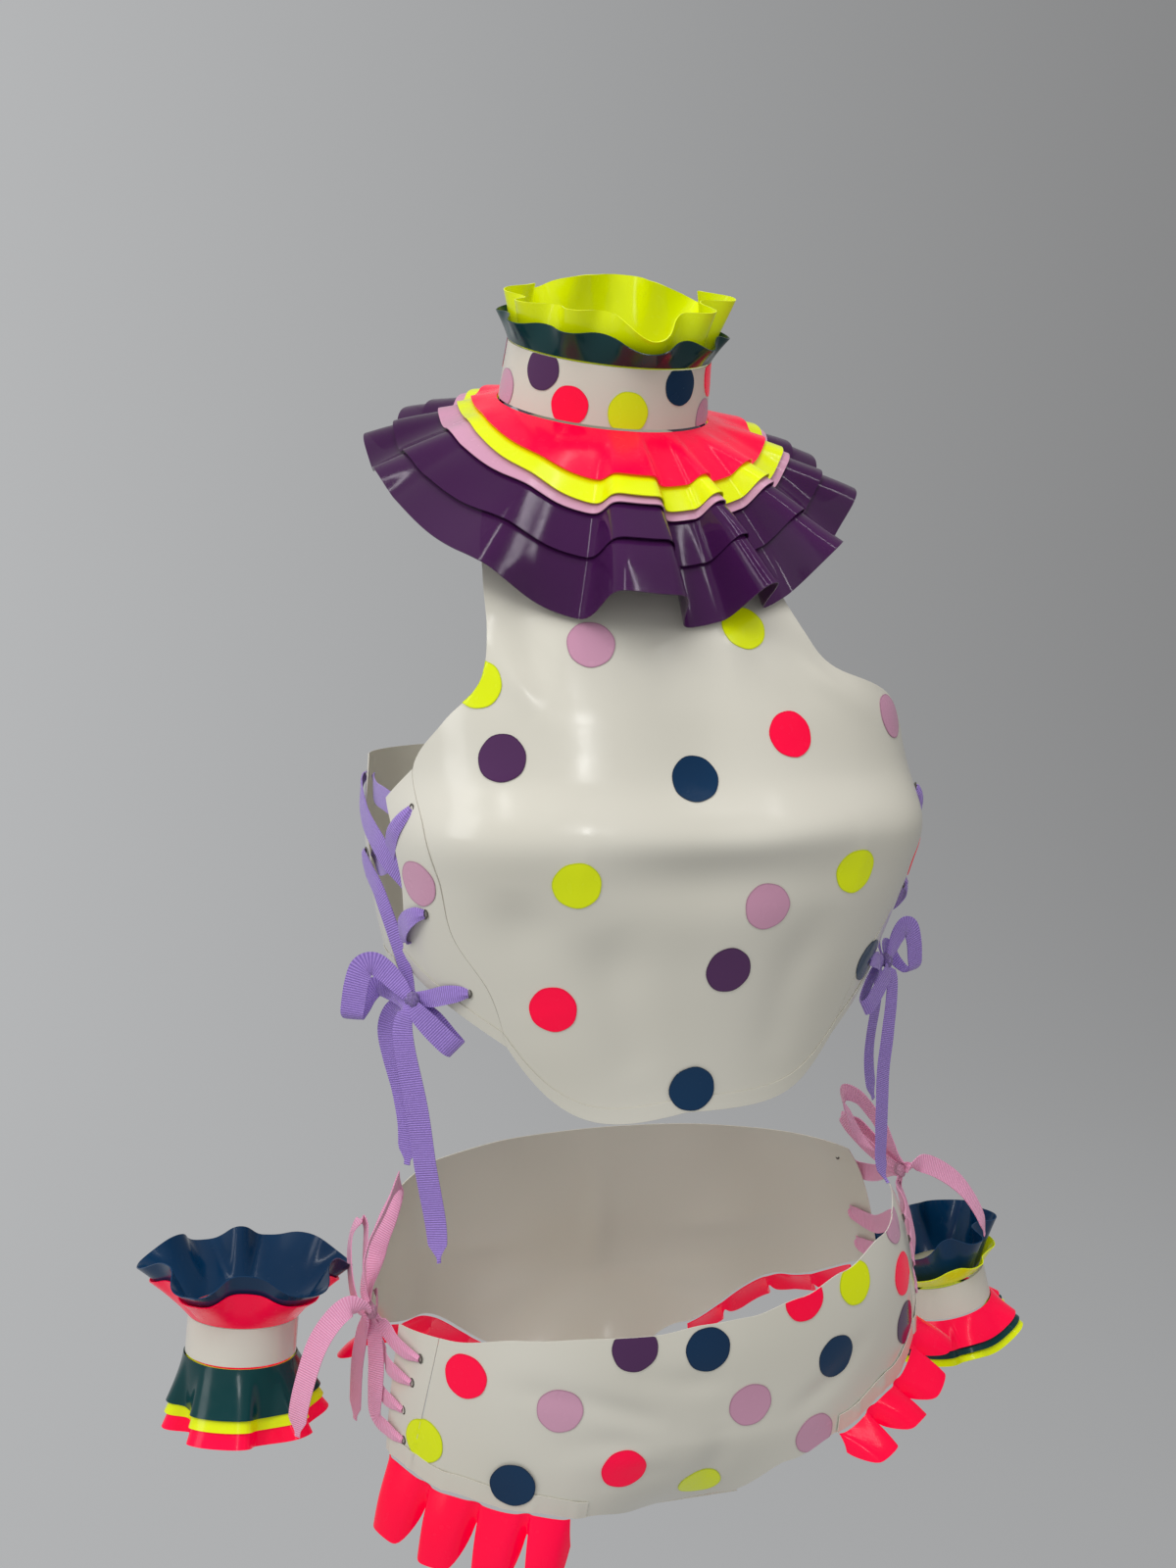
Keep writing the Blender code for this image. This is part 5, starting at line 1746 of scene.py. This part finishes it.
TOP_RIGHT = Lacing(
    "top_ribbon_R",
    Shade.LAVENDER,
    (
        through(
            (-100.0, -20.35, -0.30, 0.5), (-97.5, -20.5, -0.36, 0.9), (-93, -20.7, -0.28),
            (-85, -20.85, -0.18), (-78, -20.95, -0.16), (-72, -21.2, -0.16), (-66, -21.5, -0.20),
        ),
        through(
            (-65.0, -21.1, 0.10, 0.40, 10), (-66.0, -21.5, 0.22, 0.62, 15), (-68.5, -22.3, 0.24, 0.85, 15),
            (-71.2, -23.2, 0.05, 1.0, 10), (-74.5, -24.0, -0.12, 1.1), (-82, -24.5, -0.22),
            (-88.5, -24.6, -0.32, 1.1), (-92, -24.5, -0.36, 0.9), (-94.5, -24.4, -0.30, 0.5),
        ),
        through(
            (-63.0, -26.4, 0.10, 0.40), (-65.0, -26.5, 0.30, 0.80), (-67.6, -26.9, 0.42, 1.05),
            (-70.2, -27.5, 0.34, 1.15), (-71.9, -28.1, 0.08, 1.15), (-70.6, -28.7, -0.16, 1.1),
            (-66.5, -29.0, -0.22, 1.1),
        ),
    ),
    (
        through(
            (-100.0, -20.2, 0.10, 0.40), (-98.4, -20.45, 0.28, 0.80, 5), (-94.5, -20.95, 0.34, 1.15, 10),
            (-86, -21.9, 0.32, 1.2, 15), (-77, -22.9, 0.24, 1.2, 15), (-72.5, -23.9, 0.10, 1.2, 10),
            (-69, -24.8, -0.12, 1.15), (-65.5, -25.6, -0.20, 1.1),
        ),
        through(
            (-94.5, -24.3, 0.10, 0.40), (-92.8, -24.45, 0.26, 0.80, 5), (-89, -24.9, 0.24, 1.0, 15),
            (-82.5, -25.7, 0.14, 1.0, 20), (-79, -26.7, 0.12, 1.0, 20), (-76.5, -28.0, 0.10, 1.0, 20),
            (-74, -29.3, 0.20, 0.95, 20), (-71.5, -30.4, 0.50, 0.8, 20), (-69, -31.0, 0.85, 0.6, 20),
        ),
        through(
            (-55.5, -30.4, 0.10, 0.40), (-57.5, -30.45, 0.30, 0.80), (-60.5, -30.6, 0.42, 0.95),
            (-64.5, -30.9, 0.55, 0.90), (-68.0, -31.0, 0.85, 0.60),
        ),
    ),
    Pass(-68.0, -31.0, 1.05),
    through(
        (-68.6, -30.9, 1.10, 0.55, 45), (-70.5, -30.3, 1.20, 0.95, 50), (-72.6, -29.7, 1.40, 1.15, 54),
        (-74.3, -29.3, 1.75, 1.2, 56), (-75.3, -29.5, 2.30, 1.25, 56), (-75.7, -30.3, 2.80, 1.25, 56),
        (-76.0, -31.2, 3.20, 1.25, 56), (-76.4, -32.0, 3.50, 1.2, 52), (-77.6, -32.3, 3.30, 1.0, 46),
        (-79.0, -31.9, 2.75, 1.05, 44), (-79.5, -31.2, 2.10, 1.1, 46), (-78.6, -30.8, 1.50, 1.05, 46),
        (-75.0, -31.0, 1.20, 0.85, 42), (-71.0, -31.3, 1.20, 0.6, 40), (-68.5, -31.6, 1.45, 0.8, 42),
        (-68.8, -32.6, 1.90, 1.05, 42), (-68.0, -34.7, 2.25, 1.15, 42), (-67.0, -36.8, 2.35, 1.2, 42),
        (-66.5, -39.4, 1.95, 1.2, 40), (-66.0, -41.8, 1.25, 1.2, 38), (-65.5, -43.4, 0.70, 1.15, 36),
        (-65.0, -44.5, 0.40, 1.0, 30), (-64.2, -45.1, 0.35, 0.5, 20),
    ),
    through(
        (-67.6, -31.1, 1.10, 0.55, 25), (-66.0, -31.6, 1.25, 1.0, 30), (-64.0, -32.2, 1.15, 1.2, 32),
        (-62.0, -32.8, 1.00, 1.25, 30), (-60.2, -33.3, 0.85, 1.25, 25), (-60.0, -33.5, 0.55, 1.2, 25),
        (-62.5, -33.0, 0.42, 1.1, 25), (-66.0, -32.0, 0.50, 1.0, 25), (-70.0, -31.5, 0.80, 0.8, 30),
        (-75.5, -31.9, 1.20, 1.05, 38), (-77.5, -33.0, 1.75, 1.15, 42), (-77.0, -34.7, 1.95, 1.2, 42),
        (-76.0, -36.6, 1.90, 1.2, 40), (-75.0, -38.4, 1.70, 1.2, 40), (-75.0, -40.5, 1.50, 1.15, 36),
    ),
)
BRIEFS_RIGHT = Lacing(
    "briefs_ribbon_R",
    Shade.ROSE,
    (
        through(
            (-100.0, -46.7, 0.10, 0.40), (-98.4, -46.95, 0.28, 0.80, 5), (-95, -47.35, 0.34, 1.05, 15),
            (-90, -47.9, 0.55, 1.0, 20), (-83, -48.4, 0.85, 0.8, 20), (-78.5, -48.7, 1.05, 0.6, 20),
            (-78.3, -49.2, 0.70, 0.9, 25), (-77.0, -49.7, 0.42, 1.0, 25), (-74.5, -50.1, 0.34, 0.95, 15),
            (-71.0, -50.35, 0.28, 0.80, 10), (-68.4, -50.5, 0.10, 0.35),
        ),
        through(
            (-99.4, -50.2, -0.18, 0.45), (-97.4, -50.4, -0.30, 0.90), (-90, -51.2, -0.25, 1.1),
            (-81.5, -51.6, -0.14, 1.05), (-78.2, -51.65, 0.16, 1.0), (-75.8, -51.7, 0.30, 0.98),
            (-73.0, -51.85, 0.26, 0.82), (-70.3, -52.0, 0.10, 0.35),
        ),
        through(
            (-98.4, -52.2, -0.18, 0.45), (-96.4, -52.4, -0.30, 0.90), (-90, -53.0, -0.25, 1.1),
            (-82.5, -53.3, -0.14, 1.05), (-79.4, -53.45, 0.16, 1.0), (-77.0, -53.5, 0.30, 0.95),
            (-74.6, -53.6, 0.24, 0.75), (-72.4, -53.75, 0.10, 0.35),
        ),
    ),
    (
        through(
            (-78.5, -48.8, 1.10, 0.6, 20), (-80.0, -49.6, 0.75, 0.95, 30), (-79.4, -50.6, 0.68, 1.0, 35),
            (-78.6, -51.8, 0.66, 1.0, 35), (-78.4, -53.2, 0.66, 0.95, 35), (-79.2, -54.5, 0.55, 0.85, 30),
            (-78.6, -55.0, 0.42, 0.9, 15), (-76.2, -55.2, 0.30, 0.9), (-73.8, -55.35, 0.24, 0.7),
            (-72.2, -55.45, 0.10, 0.35),
        ),
    ),
    Pass(-78.0, -48.5, 1.25),
    through(
        (-79.0, -48.3, 1.20, 0.55, 15), (-83.0, -47.7, 0.75, 0.95, 28), (-85.6, -46.7, 0.42, 1.15, 36),
        (-86.0, -45.5, 0.38, 1.2, 36), (-86.2, -44.3, 0.36, 1.2, 32), (-86.6, -43.2, 0.36, 1.1, 18),
        (-85.2, -42.3, 0.60, 1.0, 0), (-82.0, -42.5, 1.10, 1.0, -18), (-80.3, -43.7, 1.45, 1.0, -26),
        (-80.0, -44.9, 1.66, 1.05, -28), (-80.0, -46.3, 1.62, 1.1, -20), (-79.0, -47.5, 1.60, 0.9, 5),
        (-76.8, -48.1, 1.60, 0.6, 25), (-75.4, -47.9, 2.10, 0.9, 40), (-75.6, -47.7, 2.80, 1.1, 40),
        (-76.4, -48.4, 3.55, 1.15, 38), (-77.0, -49.7, 4.25, 1.2, 36), (-77.0, -51.5, 4.75, 1.2, 34),
        (-77.0, -53.2, 5.05, 1.2, 32), (-77.0, -54.5, 5.05, 1.1, 30),
    ),
    through(
        (-79.0, -48.7, 1.10, 0.55, 10), (-84.0, -48.3, 0.85, 0.95, 10), (-89.0, -47.5, 0.75, 1.15, 10),
        (-92.5, -46.5, 0.75, 1.2, 10), (-94.5, -45.7, 0.90, 1.2, 10), (-95.2, -45.4, 1.30, 1.2, 10),
        (-94.0, -46.2, 1.60, 1.2, 10), (-90.0, -47.5, 1.55, 1.15, 10), (-84.0, -48.7, 1.45, 0.9, 10),
        (-80.0, -49.0, 1.25, 0.6, 15), (-82.5, -50.4, 1.10, 0.95, 20), (-84.5, -52.2, 1.05, 1.1, 20),
        (-86.0, -54.2, 0.95, 1.15, 20), (-86.5, -56.0, 0.90, 1.1, 20),
    ),
)


GAP_START, GAP_WIDTH = 80.0, 14.0  # where the gap between the panels starts, and its width, in degrees


class Shift(NamedTuple):
    """Where the other side's panel lies: how much further back, in degrees, and how much higher, in cm."""

    back: float
    up: float

    def turned_over(self, azimuth: float, height: float) -> tuple:
        """The place on the other side that answers to this one."""
        return self.back - azimuth, height + self.up


def other_side(part: Lacing, name: str, front: Shift, back: Shift, squeeze: float) -> Lacing:
    """The lacing of the other side of a garment.

    Args:
        part: The lacing to turn over.
        name: Its own name.
        front: Where the front panel's edge lies.
        back: Where the back panel's edge lies.
        squeeze: How long its loops and tails are, against those of the first.

    Returns:
        The lacing.
    """

    def over(spot: Pass, share: float = 1.0, behind: float = 0.0) -> Pass:
        """A point turned over, drawn in towards the knot's height, and moved as far as the panels ask."""
        shift = Shift(blend(front.back, back.back, behind), blend(front.up, back.up, behind))
        height = blend(part.knot.height, spot.height, share)
        return Pass(*shift.turned_over(spot.azimuth, height), spot.off, spot.width, -spot.turn)

    def across(spot: Pass) -> Pass:
        """A point of a lace turned over, between the front panel's move and the back panel's."""
        return over(spot, 1.0, limited((-spot.azimuth - GAP_START) / GAP_WIDTH, 0.0, 1.0))

    both = part.lace_a, part.lace_b
    laces = [tuple(tuple(across(spot) for spot in strand) for strand in lace) for lace in both]
    ends = [tuple(over(spot, squeeze) for spot in end) for end in (part.end_a, part.end_b)]
    return Lacing(name, part.shade, *laces, over(part.knot), *ends)


TOP_SHIFTS = Shift(5.0, 0.2), Shift(-3.5, 0.2)  # of the front and of the back panel
BRIEFS_SHIFTS = Shift(6.0, 4.1), Shift(6.0, 1.3)
LACINGS = (
    TOP_RIGHT,
    other_side(TOP_RIGHT, "top_ribbon_L", *TOP_SHIFTS, 0.92),
    BRIEFS_RIGHT,
    other_side(BRIEFS_RIGHT, "briefs_ribbon_L", *BRIEFS_SHIFTS, 0.72),
)


class Holes(NamedTuple):
    """The lace holes of a garment's right side, as (azimuth, height), and the shifts to those of its left."""

    garment: str
    front: tuple
    back: tuple
    shifts: tuple

    def places(self) -> list:
        """All the garment's holes."""
        moved = zip(self.shifts, (self.front, self.back))
        left = [shift.turned_over(*hole) for shift, side in moved for hole in side]
        return [*self.front, *self.back, *left]


LACE_HOLES = (
    Holes(
        "top",
        ((-64.9, -21.1), (-62.9, -26.4), (-55.4, -30.4)),
        ((-100.2, -20.2), (-94.7, -24.3)),
        TOP_SHIFTS,
    ),
    Holes(
        "briefs",
        ((-68.3, -50.5), (-70.2, -52.0), (-72.3, -53.75), (-72.1, -55.45)),
        ((-100.2, -46.7), (-99.6, -50.2), (-98.6, -52.2)),
        BRIEFS_SHIFTS,
    ),
)


@dataclass
class Ribbon:
    """One length of ribbon through the points that it passes."""

    name: str
    shade: Shade
    passes: tuple
    tip: bool

    def build(self) -> tuple:
        """Builds the ribbon, bunched where it is narrow and cut to a point at its tip.

        Returns:
            The piece, its grid, its middle line and its length.
        """
        fine = catmull(np.array(self.passes, float), FINE_STEPS)
        middle = np.array([on_figure(*spot[:3]) for spot in fine])
        facing = np.radians(fine[:, 0] + fine[:, 4])
        away = np.stack([np.sin(facing), -np.cos(facing), np.zeros_like(facing)], 1)
        run = np.gradient(middle, axis=0)
        run /= np.maximum(np.linalg.norm(run, axis=1, keepdims=True), 1e-9)
        flat = run - away * (run * away).sum(1, keepdims=True)
        sides = np.cross(away, flat)
        sides /= np.maximum(np.linalg.norm(sides, axis=1, keepdims=True), 1e-9)
        for k in range(1, len(sides)):
            if np.linalg.norm(flat[k]) < TURN_LIMIT:
                sides[k] = sides[k - 1]
            if sides[k] @ sides[k - 1] < 0:
                sides[k] = -sides[k]
        for _ in range(3):
            sides[1:-1] = (sides[:-2] + 2 * sides[1:-1] + sides[2:]) / 4
        sides /= np.linalg.norm(sides, axis=1, keepdims=True)
        along = lengths_along(middle)
        width = fine[:, 3] * CM
        if self.tip:
            width = width * np.clip((along[-1] - along) / TIP_LENGTH, TIP_SHARE, 1.0)
        up = np.cross(run, sides)
        up *= np.sign((up * away).sum(1, keepdims=True) + 1e-9)
        bunched = np.clip(BUNCH_FROM - fine[:, 3], 0.0, BUNCH_MOST)[:, None] * CM
        rows = []
        for off in np.linspace(-0.5, 0.5, RIBBON_COLUMNS):
            arch = bunched * (BUNCH_ARCH * (1 - (2 * off) ** 2) + BUNCH_PLEAT * math.sin(PLEAT_TURNS * off))
            rows.append(middle + sides * (width * off)[:, None] + up * arch)
        grid = np.stack(rows, 1)
        piece = grid_piece(self.name, grid, wall=RIBBON_WALL)
        return finished(piece, self.shade), grid, middle, float(along[-1])


@dataclass
class SideLacing:
    """The ribbon of one side: laces, knot and both ends."""

    part: Lacing

    def build(self) -> None:
        """Builds the laces, the knot and both ends."""
        knot = self.knot()
        self.lace("lace_a", self.part.lace_a)
        self.lace("lace_b", self.part.lace_b)
        self.end("end_a", self.part.end_a, [knot])
        self.end("end_b", self.part.end_b, [])

    def lace(self, suffix: str, strands: tuple) -> None:
        """The strands of one lace, as one piece.

        Args:
            suffix: Which lace it is.
            strands: What each strand passes.
        """
        node = f"{self.part.name}_{suffix}"
        shade = self.part.shade
        made = [Ribbon(f"{node}_{k}", shade, strand, False).build() for k, strand in enumerate(strands)]
        piece = joined([piece for piece, _, _, _ in made], f"{node}_weave")
        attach(piece, BODY)
        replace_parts(piece, node)

    def end(self, suffix: str, passes: tuple, held: list) -> None:
        """A loop and its tail.

        Args:
            suffix: Which end it is.
            passes: What it passes.
            held: Not used.
        """
        node = f"{self.part.name}_{suffix}"
        piece, _, middle, length = Ribbon(f"{node}_weave", self.part.shade, passes, True).build()
        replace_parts(piece, node)
        log.info("length of %s: %.0f mm", node, length * 1000)

    def knot(self) -> Piece:
        """The tied middle of the bow: a soft lump with the ribbon's turn across it.

        Returns:
            The piece.
        """
        stay = self.part.knot
        spot = on_figure(stay.azimuth, stay.height, stay.off)
        bpy.ops.object.select_all(action="DESELECT")
        bpy.ops.mesh.primitive_uv_sphere_add(
            segments=40, ring_count=24, radius=KNOT_RADIUS, location=(0, 0, 0)
        )
        piece = bpy.context.object
        piece.name = f"{self.part.name}_knot_weave"
        piece.data.transform(Matrix.Diagonal(KNOT_SCALE))
        for vert in piece.data.vertices:
            turn = math.atan2(vert.co.z, vert.co.x)
            pinch = 1.0 - KNOT_PINCH * math.exp(-((vert.co.x / KNOT_PINCH_HALF) ** 2)) * abs(math.sin(turn))
            groove = 1.0 + KNOT_GROOVE * math.sin(KNOT_GROOVES * turn + KNOT_GROOVE_SLANT * vert.co.y)
            vert.co *= pinch * groove
        azimuth = math.radians(stay.azimuth + 0.5 * stay.turn)
        piece.data.transform(Matrix.Translation(spot) @ Matrix.Rotation(azimuth, 4, "Z"))
        active(piece)
        finished(piece, self.part.shade, KNOT_ANGLE)
        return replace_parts(piece, f"{self.part.name}_knot")


# Painted shade: the rims of the lace holes are near black, standing in for the shade inside each hole.
HOLE = Plain("cream_latex", (0.10, 0.09, 0.075), 0.5)


@dataclass
class PunchedHoles:
    """The holes that the laces run through, each shown by its rolled rim, painted dark as the shade in the hole.
    """

    part: Holes

    def build(self) -> None:
        """Models a rim at each place, long across the lace, and joins them."""
        made = []
        for azimuth, height in self.part.places():
            bpy.ops.object.select_all(action="DESELECT")
            bpy.ops.mesh.primitive_torus_add(
                major_radius=LIP_RADIUS,
                minor_radius=LIP_WIDTH,
                major_segments=28,
                minor_segments=8,
                location=(0, 0, 0),
            )
            lip = bpy.context.object
            spot = on_figure(azimuth, height, EASE + LIP_OUT)
            inner = on_figure(azimuth, height, EASE - 1.0)
            turn = (spot - inner).to_track_quat("Z", "Y").to_matrix().to_4x4()
            lip.data.transform(Matrix.Translation(spot) @ turn @ Matrix.Diagonal(LIP_SCALE))
            made.append(lip)
        finished(joined(made, f"{self.part.garment}_lace_holes"), HOLE, KNOT_ANGLE)


# ---------------------------------------------------------------- studio


# Each light's name, place, aim and side in metres, and its power in watts.
LIGHTS = (
    ("key", (-1.3, -1.7, 1.9), (0.0, 0.0, -0.3), 1.5, 26.5),
    ("fill", (1.9, -2.0, 0.5), (0.0, 0.0, -0.3), 1.6, 5.5),
    ("top", (0.1, 0.2, 2.0), (0.0, 0.0, -0.3), 1.8, 15.0),
    ("behind", (0.9, 2.3, 0.9), (0.0, 0.0, -0.3), 1.5, 11.0),
)
# The same for the lights that glossy surfaces show, with two sides each.
WINDOWS = (
    ("window", (-2.4, -0.9, 0.9), (0.0, 0.0, -0.2), (0.8, 1.5), 10.0),
    ("tube_left", (-0.75, -0.7, 1.5), (-0.1, -0.1, -0.1), (0.10, 1.5), 4.0),
    ("tube_right", (0.55, -0.7, 1.5), (0.1, -0.1, -0.1), (0.10, 1.5), 4.0),
    ("strip", (-0.35, -2.6, 1.2), (0.05, 0.0, -0.15), (0.22, 0.5), 4.0),
)
WORLD_COLOUR, WORLD_STRENGTH = (0.62, 0.60, 0.60, 1.0), 0.58
# The wall's glow is painted light, darker towards +X as painted shade.
BACKDROP = Backdrop("floor", (0.478, 0.485, 0.492), (0.185, 0.185, 0.187))
BACKDROP_SIDES, BACKDROP_BEND_STEPS = 96, 13


@dataclass
class Studio:
    """A pale floor that curves up into a wall all round, soft lights and the camera."""

    camera_at: tuple = (-0.23, -0.82, -0.12)
    pitch: float = 6.0
    yaw: float = 15.0
    lens: float = 35.0
    floor_height: float = -1.30
    radius: float = 4.6
    bend: float = 1.6
    wall_top: float = 3.4

    def build(self) -> None:
        """Builds the whole stage."""
        bpy.context.scene.view_settings.view_transform = "Standard"
        self.camera()
        self.floor()
        for light in LIGHTS:
            self.light(*light)
        for window in WINDOWS:
            self.window(*window)
        world = bpy.data.worlds.new("room")
        world.use_nodes = True
        sky = world.node_tree.nodes["Background"].inputs
        sky["Color"].default_value = WORLD_COLOUR
        sky["Strength"].default_value = WORLD_STRENGTH
        bpy.context.scene.world = world

    def camera(self) -> None:
        """The camera, level from side to side."""
        data = bpy.data.cameras.new("camera")
        data.lens = self.lens
        data.sensor_width = 36.0
        data.sensor_fit = "AUTO"
        camera = bpy.data.objects.new("camera", data)
        camera.location = self.camera_at
        camera.rotation_euler = (math.radians(90 - self.pitch), 0.0, math.radians(-self.yaw))
        bpy.context.scene.collection.objects.link(camera)
        bpy.context.scene.camera = camera

    def floor(self) -> None:
        """The floor and its wall, one surface with no edge to see."""
        flat = self.radius - self.bend
        turns = np.radians(np.linspace(0, 90, BACKDROP_BEND_STEPS))
        profile = [(0.0005, 0.0), (flat / 2, 0.0)]
        profile += [(flat + self.bend * math.sin(turn), self.bend * (1 - math.cos(turn))) for turn in turns]
        profile += [(self.radius, self.wall_top)]
        around = np.linspace(0, 2 * np.pi, BACKDROP_SIDES, endpoint=False)
        side, ahead, level = np.sin(around), -np.cos(around), np.ones_like(around)
        rows = [np.stack([r * side, r * ahead, (h + self.floor_height) * level], 1) for r, h in profile]
        piece = grid_piece("floor", np.array(rows), ring=True)
        piece.modifiers.clear()
        active(piece)
        bpy.ops.object.shade_smooth()
        piece.data.materials.append(BACKDROP.material())

    def window(self, name: str, at: tuple, aim: tuple, sides: tuple, power: float) -> None:
        """A light that glossy surfaces show.

        Args:
            name: Its name.
            at: Where it hangs.
            aim: What it points at.
            sides: Its sides, in metres, across and up.
            power: Its power, in watts.
        """
        lamp = self.light(name, at, aim, sides[0], power)
        lamp.data.shape = "RECTANGLE"
        lamp.data.size_y = sides[1]
        lamp.visible_glossy = True

    def light(self, name: str, at: tuple, aim: tuple, size: float, power: float) -> Piece:
        """A square soft light that glossy surfaces don't show.

        Args:
            name: Its name.
            at: Where it hangs.
            aim: What it points at.
            size: Its side, in metres.
            power: Its power, in watts.

        Returns:
            The light.
        """
        data = bpy.data.lights.new(name, "AREA")
        data.size = size
        data.energy = power
        lamp = bpy.data.objects.new(name, data)
        lamp.visible_glossy = False
        lamp.location = at
        lamp.rotation_euler = (Vector(aim) - Vector(at)).to_track_quat("-Z", "Y").to_euler()
        bpy.context.scene.collection.objects.link(lamp)
        return lamp


def main() -> None:
    """Builds the costume piece by piece."""
    logging.basicConfig(level=logging.INFO, format="%(message)s", stream=sys.stdout)
    Studio().build()
    for part in LACINGS:
        SideLacing(part).build()
    NeckRuff().build()
    CropTop().build()
    Briefs().build()
    for part in LEG_RUFFLES:
        LegTabs(part).build()
    WristCuff("R", CUFF_RIGHT, CUFF_RIGHT_RUFFLES, CUFF_RIGHT_STANDING, CUFF_RIGHT_FALLING).build()
    WristCuff("L", CUFF_LEFT, CUFF_LEFT_RUFFLES, CUFF_LEFT_STANDING, CUFF_LEFT_FALLING).build()
    for part in LACE_HOLES:
        PunchedHoles(part).build()


if __name__ == "__main__":
    main()
